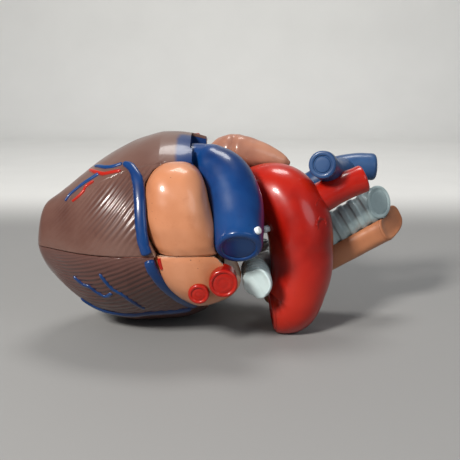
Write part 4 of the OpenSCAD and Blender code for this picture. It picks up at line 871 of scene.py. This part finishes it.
def wall_vessel(name, lines, rise, body, material, finish, node):
    """Raised painted vessel: along a line of [t, angle, width] on the wall, a low rounded section whose
    foot is sunk in the skin. Width wavers as a hand-painted line does, and the height tapers at the ends."""
    count = 0
    all_points, all_faces = [], []
    for k, line in enumerate(lines):
        path = through(line, 14)
        n = len(path)
        spot = wall(path[:, 0], path[:, 1])
        t, a = path[:, 0], path[:, 1]
        along = wall(np.minimum(t + 0.01, 1), a) - wall(np.maximum(t - 0.01, 0.001), a)
        out = -unit(np.cross(along, wall(t, a + 1) - wall(t, a - 1)))
        side = unit(np.cross(unit(np.gradient(spot, axis=0)), out))
        run = np.linspace(0, 1, n)
        taper = np.minimum(1, 0.35 + 3.2 * np.sqrt(run)) * np.minimum(1, 0.55 + 3 * np.sqrt(1 - run))
        width = path[:, 2] / 2 * taper * (1 + 0.10 * drift(np.arange(n) / 6.0, seed=k + len(name)))
        tall = (rise + 0.5) * taper**0.6
        q = once_round(30)
        c, s = full_round(np.cos(q), 0.9), np.sin(q)
        lift = np.where(s > 0, tall[:, None] * np.abs(s)[None]**0.85, -1.2 * np.abs(s)[None])
        rings = spot[:, None] + (width[:, None] * c[None])[..., None] * side[:, None]
        rings = rings + (lift + 0.4)[..., None] * out[:, None]
        points, faces = closed_rings(rings, spot[0] + 0.2 * out[0], spot[-1] + 0.2 * out[-1])
        all_points.append(points)
        all_faces.append(faces + count)
        count += len(points)
    add_piece(name, np.vstack(all_points), np.vstack(all_faces), body, material, finish, [node], sharp=70)


BIG, THIN, RISE = 9.0, 3.6, 2.6
LOWER_VEIN = [[0.6996, 183, 0.8 * BIG], [0.7089, 190, BIG], [0.7324, 197, BIG], [0.7722, 205, BIG],
              [0.8221, 213, BIG], [0.8754, 221, BIG], [0.9288, 230, BIG]]
MIDDLE_VEIN = [[0.23, 241, THIN], [0.29, 243, 1.4 * THIN], [0.36, 241, 0.6 * BIG], [0.45, 237, 0.8 * BIG],
               [0.56, 234, 0.9 * BIG], [0.69, 232, BIG], [0.82, 231.5, BIG], [0.9, 233, BIG]]
BACK_BRANCHES = [[[0.24, 208, 0.8 * THIN], [0.29, 212, THIN], [0.33, 212, THIN], [0.37, 215, THIN],
                  [0.42, 216.5, THIN], [0.463, 212, THIN]],
                 [[0.413, 197, 0.8 * THIN], [0.442, 203, THIN], [0.474, 208, THIN], [0.532, 212.5, THIN],
                  [0.576, 218.5, THIN], [0.63, 226, THIN]]]
UPPER_VEIN = [[0.542, 123, 0.5 * BIG], [0.588, 128, 0.8 * BIG], [0.63, 138, BIG], [0.648, 150, BIG],
              [0.657, 162, BIG], [0.67, 172, BIG], [0.69, 178.4, BIG]]
FRONT_ARTERY = [[[0.32, 104, 0.8 * THIN], [0.36, 114, THIN], [0.41, 122, THIN], [0.445, 125, THIN],
                 [0.53, 128, THIN]],
                [[0.371, 126, 0.8 * THIN], [0.327, 127, 0.8 * THIN], [0.31, 131, 0.8 * THIN],
                 [0.272, 134, 0.7 * THIN], [0.248, 135, 0.6 * THIN]]]
FRONT_VEINS = [[[0.35, 104, 0.8 * THIN], [0.42, 116, THIN], [0.478, 121, THIN], [0.532, 122, THIN]],
               [[0.4, 120.5, THIN], [0.345, 121, THIN], [0.306, 121, THIN], [0.264, 122, 0.8 * THIN],
                [0.22, 124, 0.8 * THIN], [0.196, 129, 0.6 * THIN]]]
RIGHT_CORONARY = [[0.87, 68, THIN], [0.91, 73, 1.2 * THIN], [0.95, 79, THIN]]

WALL_VESSELS = [
    ("great_cardiac_vein_low", [LOWER_VEIN], RISE, "heart_base", VEIN, "vein_blue", "lower_cardiac_vein"),
    ("middle_cardiac_vein_line", [MIDDLE_VEIN], 0.8 * RISE, "heart_base", VEIN, "vein_blue", "middle_cardiac_vein"),
    ("posterior_veins_line", BACK_BRANCHES, 0.5 * RISE, "heart_base", VEIN, "vein_blue", "posterior_vein_branches"),
    ("great_cardiac_vein_up", [UPPER_VEIN], RISE, "front_wall", VEIN, "vein_blue", "upper_cardiac_vein"),
    ("anterior_artery_line", FRONT_ARTERY, 0.5 * RISE, "front_wall", ARTERY, "artery_red", "anterior_artery"),
    ("anterior_veins_line", FRONT_VEINS, 0.45 * RISE, "front_wall", VEIN, "vein_blue", "anterior_veins"),
    ("right_coronary_line", [RIGHT_CORONARY], 0.6 * RISE, "front_wall", ARTERY, "artery_red",
     "right_coronary_artery"),
]
for vessel in WALL_VESSELS:
    wall_vessel(*vessel)


# ---- airway -----------------------------------------------------------------------------------

TILT = math.radians(31)
AIR_DIR = np.array([math.cos(TILT), 0, math.sin(TILT)])
TRACHEA_L = 113.0
TRACHEA_TOP = np.array([144, 30, SPLIT_Z + 25.1])
TRACHEA_LOW = TRACHEA_TOP - TRACHEA_L * AIR_DIR
RING_R = 14 + 1.2


def ribbed(length, r, height, step, first):
    """Radius along a pipe with soft raised rings: a sine pressed flat on top, one step apart."""
    z = np.linspace(0, length, int(length / 0.7))
    wave = np.clip(0.5 + 0.85 * np.sin(2 * np.pi * (z - first) / step), 0, 1)
    return z, r + height * wave * wave * (3 - 2 * wave)


def slanted_pipe(low, way, length, section, size, slope, start, end, m):
    """Straight pipe with an oblique far end, cut by a plane that leans towards the viewer by the slope.
    section is the outline across for a size of 1, size gives it for a height, and start and end are
    profiles of [reach past the end, size]."""
    lean = math.radians(slope)
    n = math.cos(lean) * way + math.sin(lean) * np.array([0, -1.0, 0])
    past = section @ n / (way @ n)
    z = np.linspace(start[-1, 0] * -1 + 0.6, length - 1.9, m)[:, None]
    z = z - past[None] * size(length) * np.clip((z - (length - 45)) / 45, 0, 1)
    rings = low + z[..., None] * way + size(z)[..., None] * section
    first = low - start[:, 0][:, None, None] * way + start[:, 1][:, None, None] * section
    flat = section - past[:, None] * way
    last = low + length * way + end[:, 1][:, None, None] * flat + end[:, 0][:, None, None] * n
    return np.vstack([first, rings, last])


def airway():
    """Trachea with its rings, the two bronchi and the gullet beside it."""
    z, r = ribbed(TRACHEA_L + 14, 14, 1.25, 10.5, 2.6)
    q = once_round(150)
    section = np.cos(q)[:, None] * np.array([0, 1.0, 0]) + np.sin(q)[:, None] * np.cross(AIR_DIR, [0, 1.0, 0])
    end = np.array([[-1.7, 14.7], [-1.1, 14.6], [-0.6, 14.4], [-0.2, 14.0], [0, 13.5], [0, 12.4], [-0.3, 11.7],
                    [-0.9, 11.2], [-0.95, 10.5], [-0.45, 9.8], [-0.3, 8.6], [-0.35, 4], [-0.4, 0.02]])
    rings = slanted_pipe(TRACHEA_LOW, AIR_DIR, TRACHEA_L, section, lambda d: np.interp(d, z, r), 40,
                         mirrored(round_butt(14, 1.0)), end, 300)
    vessel_body("trachea_pipe", rings, "airway", AIRWAY, "airway_pale", ["trachea"], 51, 0.25, sharp=50)

    bend, tip = np.array([30, 2, SPLIT_Z - 28.5]), np.array([30, -52, SPLIT_Z - 28])
    start = TRACHEA_LOW + 8 * AIR_DIR
    route = through([np.append(start, 1), np.append((start + bend) / 2 + [0, 1.5, 0], 1),
                     np.append(bend + [0, -3, 0], 1), [30, -22, SPLIT_Z - 28.3, 1], np.append(tip, 1)], 40)
    run = np.concatenate([[0], np.cumsum(np.linalg.norm(np.diff(route[:, :3], axis=0), axis=1))])
    slope = math.tan(math.radians(32))
    across = pipe(route, [0, 0, 1], 130) - route[:, None, :3]
    shift = -slope * 11 * across[..., 0] * np.clip((-20 - route[:, 1]) / 32, 0, 1)[:, None]
    wave = np.clip(0.5 + 0.85 * np.sin(2 * np.pi * (run[:, None] - shift) / 9.0), 0, 1)
    size = 10.7 + 1.3 * wave * wave * (3 - 2 * wave) * ramp(route[:, 1], 0, -6)[:, None]
    rings = route[:, None, :3] + size[..., None] * across
    rings[..., 1] += shift
    out = unit(np.array([-slope, -1.0, 0]))
    rings[..., 2] = np.where(rings[..., 2] < tip[2], tip[2] + (rings[..., 2] - tip[2]) * 1.1, rings[..., 2])
    profile = [(0.985, 0.5), (0.95, 0.8), (0.88, 0.85), (0.82, 0.3), (0.5, 0.3)]
    rim = [tip + k * (rings[-1] - tip) + d * out for k, d in profile]
    points, faces = closed_rings(np.vstack([rings, rim]), last=tip + 0.3 * out)
    add_piece("left_bronchus_pipe", points, faces, "airway", AIRWAY, "airway_pale", ["left_bronchus"], sharp=50)

    end = np.array([34, 68, SPLIT_Z - 27.0])
    line = straight(start, end, 11.0, 70)
    line[:, 3] += 1.0 * ramp(np.sin(2 * np.pi * np.arange(70) / 13), -0.3, 0.7) - 0.5
    rings = pipe(line, [0, 0, 1], 100, end=cut_end(11, 3, 1.5, soft=1.0))
    vessel_body("right_bronchus_pipe", rings, "airway", AIRWAY, "airway_pale", ["right_bronchus"], 53, 0.2, sharp=50)

    tilt = math.radians(28.5)
    way = np.array([math.cos(tilt), 0, math.sin(tilt)])
    up = np.array([-math.sin(tilt), 0, math.cos(tilt)])
    length = 136.0
    low = TRACHEA_TOP + [12.5, 3, -19.6] - length * way
    q = once_round(180)
    section = 18 * full_round(np.sin(q))[:, None] * np.array([0, 1.0, 0]) - 12.5 * full_round(np.cos(q))[:, None] * up
    start = np.array([[0, 0.02], [0, 0.9], [-0.4, 0.955], [-1.2, 0.985], [-2.2, 1.0]])
    end = np.array([[-1.6, 0.998], [-0.9, 0.985], [-0.3, 0.96], [0, 0.925], [0.05, 0.89], [0, 0.84], [-0.35, 0.80],
                    [-0.4, 0.4], [-0.4, 0.02]])
    rings = slanted_pipe(low, way, length, section, lambda d: np.ones_like(d, dtype=float), 36, start, end, 120)
    calm = ramp(np.arange(len(rings)), 3, 8) * ramp(np.arange(len(rings)), len(rings) - 9, len(rings) - 14)
    bumps = 0.45 * unevenness(rings, 21, 13, 15, seed=17)
    rings = rings + outward(rings) * (bumps * calm[:, None])[..., None]
    spine = TRACHEA_LOW + np.linspace(-60, 180, 241)[:, None] * AIR_DIR
    rings = kept_clear(rings, spine, np.full(241, RING_R + 0.05))
    add_rings("gullet_body", rings, "airway", GULLET, "oesophagus_tan", ["oesophagus"], sharp=50)


airway()


# ---- thin artery beside the vein, and the carried-over parts ------------------------------------

def side_artery():
    """Short red artery between the vein and the left atrium, a thin pipe closed flat at both ends."""
    line = through([[-47.6, -76.4, SPLIT_Z - 1.2, 1.5], [-47.0, -76.6, SPLIT_Z - 5, 1.7],
                    [-45.6, -76.6, SPLIT_Z - 10, 1.3]], 12)
    rings = pipe(line, [0, 1, 0], 30)
    add_rings("circumflex_line", rings, "heart_base", ARTERY, "artery_red", ["circumflex_artery"])


side_artery()

CARRIED = {
    "posterior_wall": INSIDE, "front_wall": INSIDE, "left_atrium": ATRIUM_IN, "right_atrium": ATRIUM_IN,
    "mitral_valve": LEAFLET, "tricuspid_valve": LEAFLET, "pulmonary_valve": LEAFLET, "aortic_valve": LEAFLET,
    "left_papillary_muscles": ATRIUM, "right_papillary_muscles": ATRIUM,
    "left_chordae": WHITE, "right_chordae": WHITE,
    "rim_magnets": STEEL, "rim_discs": STEEL, "trunk_magnet": STEEL, "trunk_disc": STEEL, "stand_socket": STEEL,
    "front_pegs": STEEL, "auricle_pegs": STEEL, "aorta_pegs": STEEL, "airway_peg": STEEL,
}
for node, paint in CARRIED.items():
    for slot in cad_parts[node].material_slots:
        slot.material = paint


# ---- table, light and camera ------------------------------------------------------------------

def table_paint():
    """Matt paint with faint clouds: grey on the table, and paler behind it and up the wall."""
    p = Paint("table_paint")
    colour = p.blend(p.band(p.axis(1), 0.40, 0.75), [0.25, 0.249, 0.245], [0.74, 0.74, 0.72])
    return p.finish(p.blend(p.noise(7, 3, 0.5) * 0.12, colour, [0.23, 0.228, 0.224]), 0.75)


def backdrop():
    """Table and wall as one sheet: a flat that bends up behind the model in a quarter of a circle."""
    flat_end, bend = 1.9, 0.4
    q = np.linspace(0, np.pi / 2, 14)
    y = np.concatenate([np.linspace(-3.0, flat_end, 12), flat_end + bend * np.sin(q), [2.3, 2.3]])[:, None]
    z = np.concatenate([np.zeros(12), bend - bend * np.cos(q), [1.6, 3.6]])[:, None]
    points = np.stack(np.broadcast_arrays(np.array([-3.5, 3.5]), y, z), -1).reshape(-1, 3)
    i = np.arange(len(y) - 1)[:, None] * 2 + np.array([0, 1, 3, 2])[None]
    mesh = bpy.data.meshes.new("table_and_wall")
    mesh.from_pydata(points.tolist(), [], i.tolist())
    mesh.polygons.foreach_set("use_smooth", np.ones(len(mesh.polygons), dtype=bool))
    mesh.materials.append(table_paint())
    obj = bpy.data.objects.new("table_and_wall", mesh)
    bpy.context.scene.collection.objects.link(obj)


def lamp(name, at, aim, size, watts, colour):
    data = bpy.data.lights.new(name, "AREA")
    data.shape, data.size, data.energy, data.color = "DISK", size, watts, colour
    obj = bpy.data.objects.new(name, data)
    obj.location = at
    obj.rotation_mode = "QUATERNION"
    obj.rotation_quaternion = (Vector(aim) - Vector(at)).to_track_quat("-Z", "Y")
    bpy.context.scene.collection.objects.link(obj)


backdrop()
lamp("key", (-0.80, -1.15, 1.08), (0, 0, 0.08), 0.36, 39, (1.0, 0.965, 0.92))
lamp("fill", (1.1, -1.2, 0.9), (0, 0, 0.08), 1.0, 6, (0.90, 0.95, 1.0))
lamp("wall_wash", (0.1, 0.7, 2.1), (0.1, 1.5, 0.3), 0.9, 28, (1.0, 0.98, 0.95))

world = bpy.data.worlds.new("room")
bpy.context.scene.world = world
world.use_nodes = True
world.node_tree.nodes["Background"].inputs[0].default_value = (0.80, 0.87, 1.0, 1)
world.node_tree.nodes["Background"].inputs[1].default_value = 0.16

VIEW_ACROSS, VIEW_UP, VIEW_FAR = math.radians(34.5), math.radians(12), 0.65
data = bpy.data.cameras.new("camera")
data.lens, data.sensor_width = 18 / math.tan(VIEW_ACROSS / 2), 36
camera = bpy.data.objects.new("camera", data)
aim = Vector((-0.00105, -0.0058, 0.087))
back = Vector((0, -math.cos(VIEW_UP), math.sin(VIEW_UP)))
camera.location = aim + back * VIEW_FAR
camera.rotation_mode = "QUATERNION"
camera.rotation_quaternion = (-back).to_track_quat("-Z", "Y")
bpy.context.scene.collection.objects.link(camera)
bpy.context.scene.camera = camera
bpy.context.scene.view_settings.view_transform = "Standard"
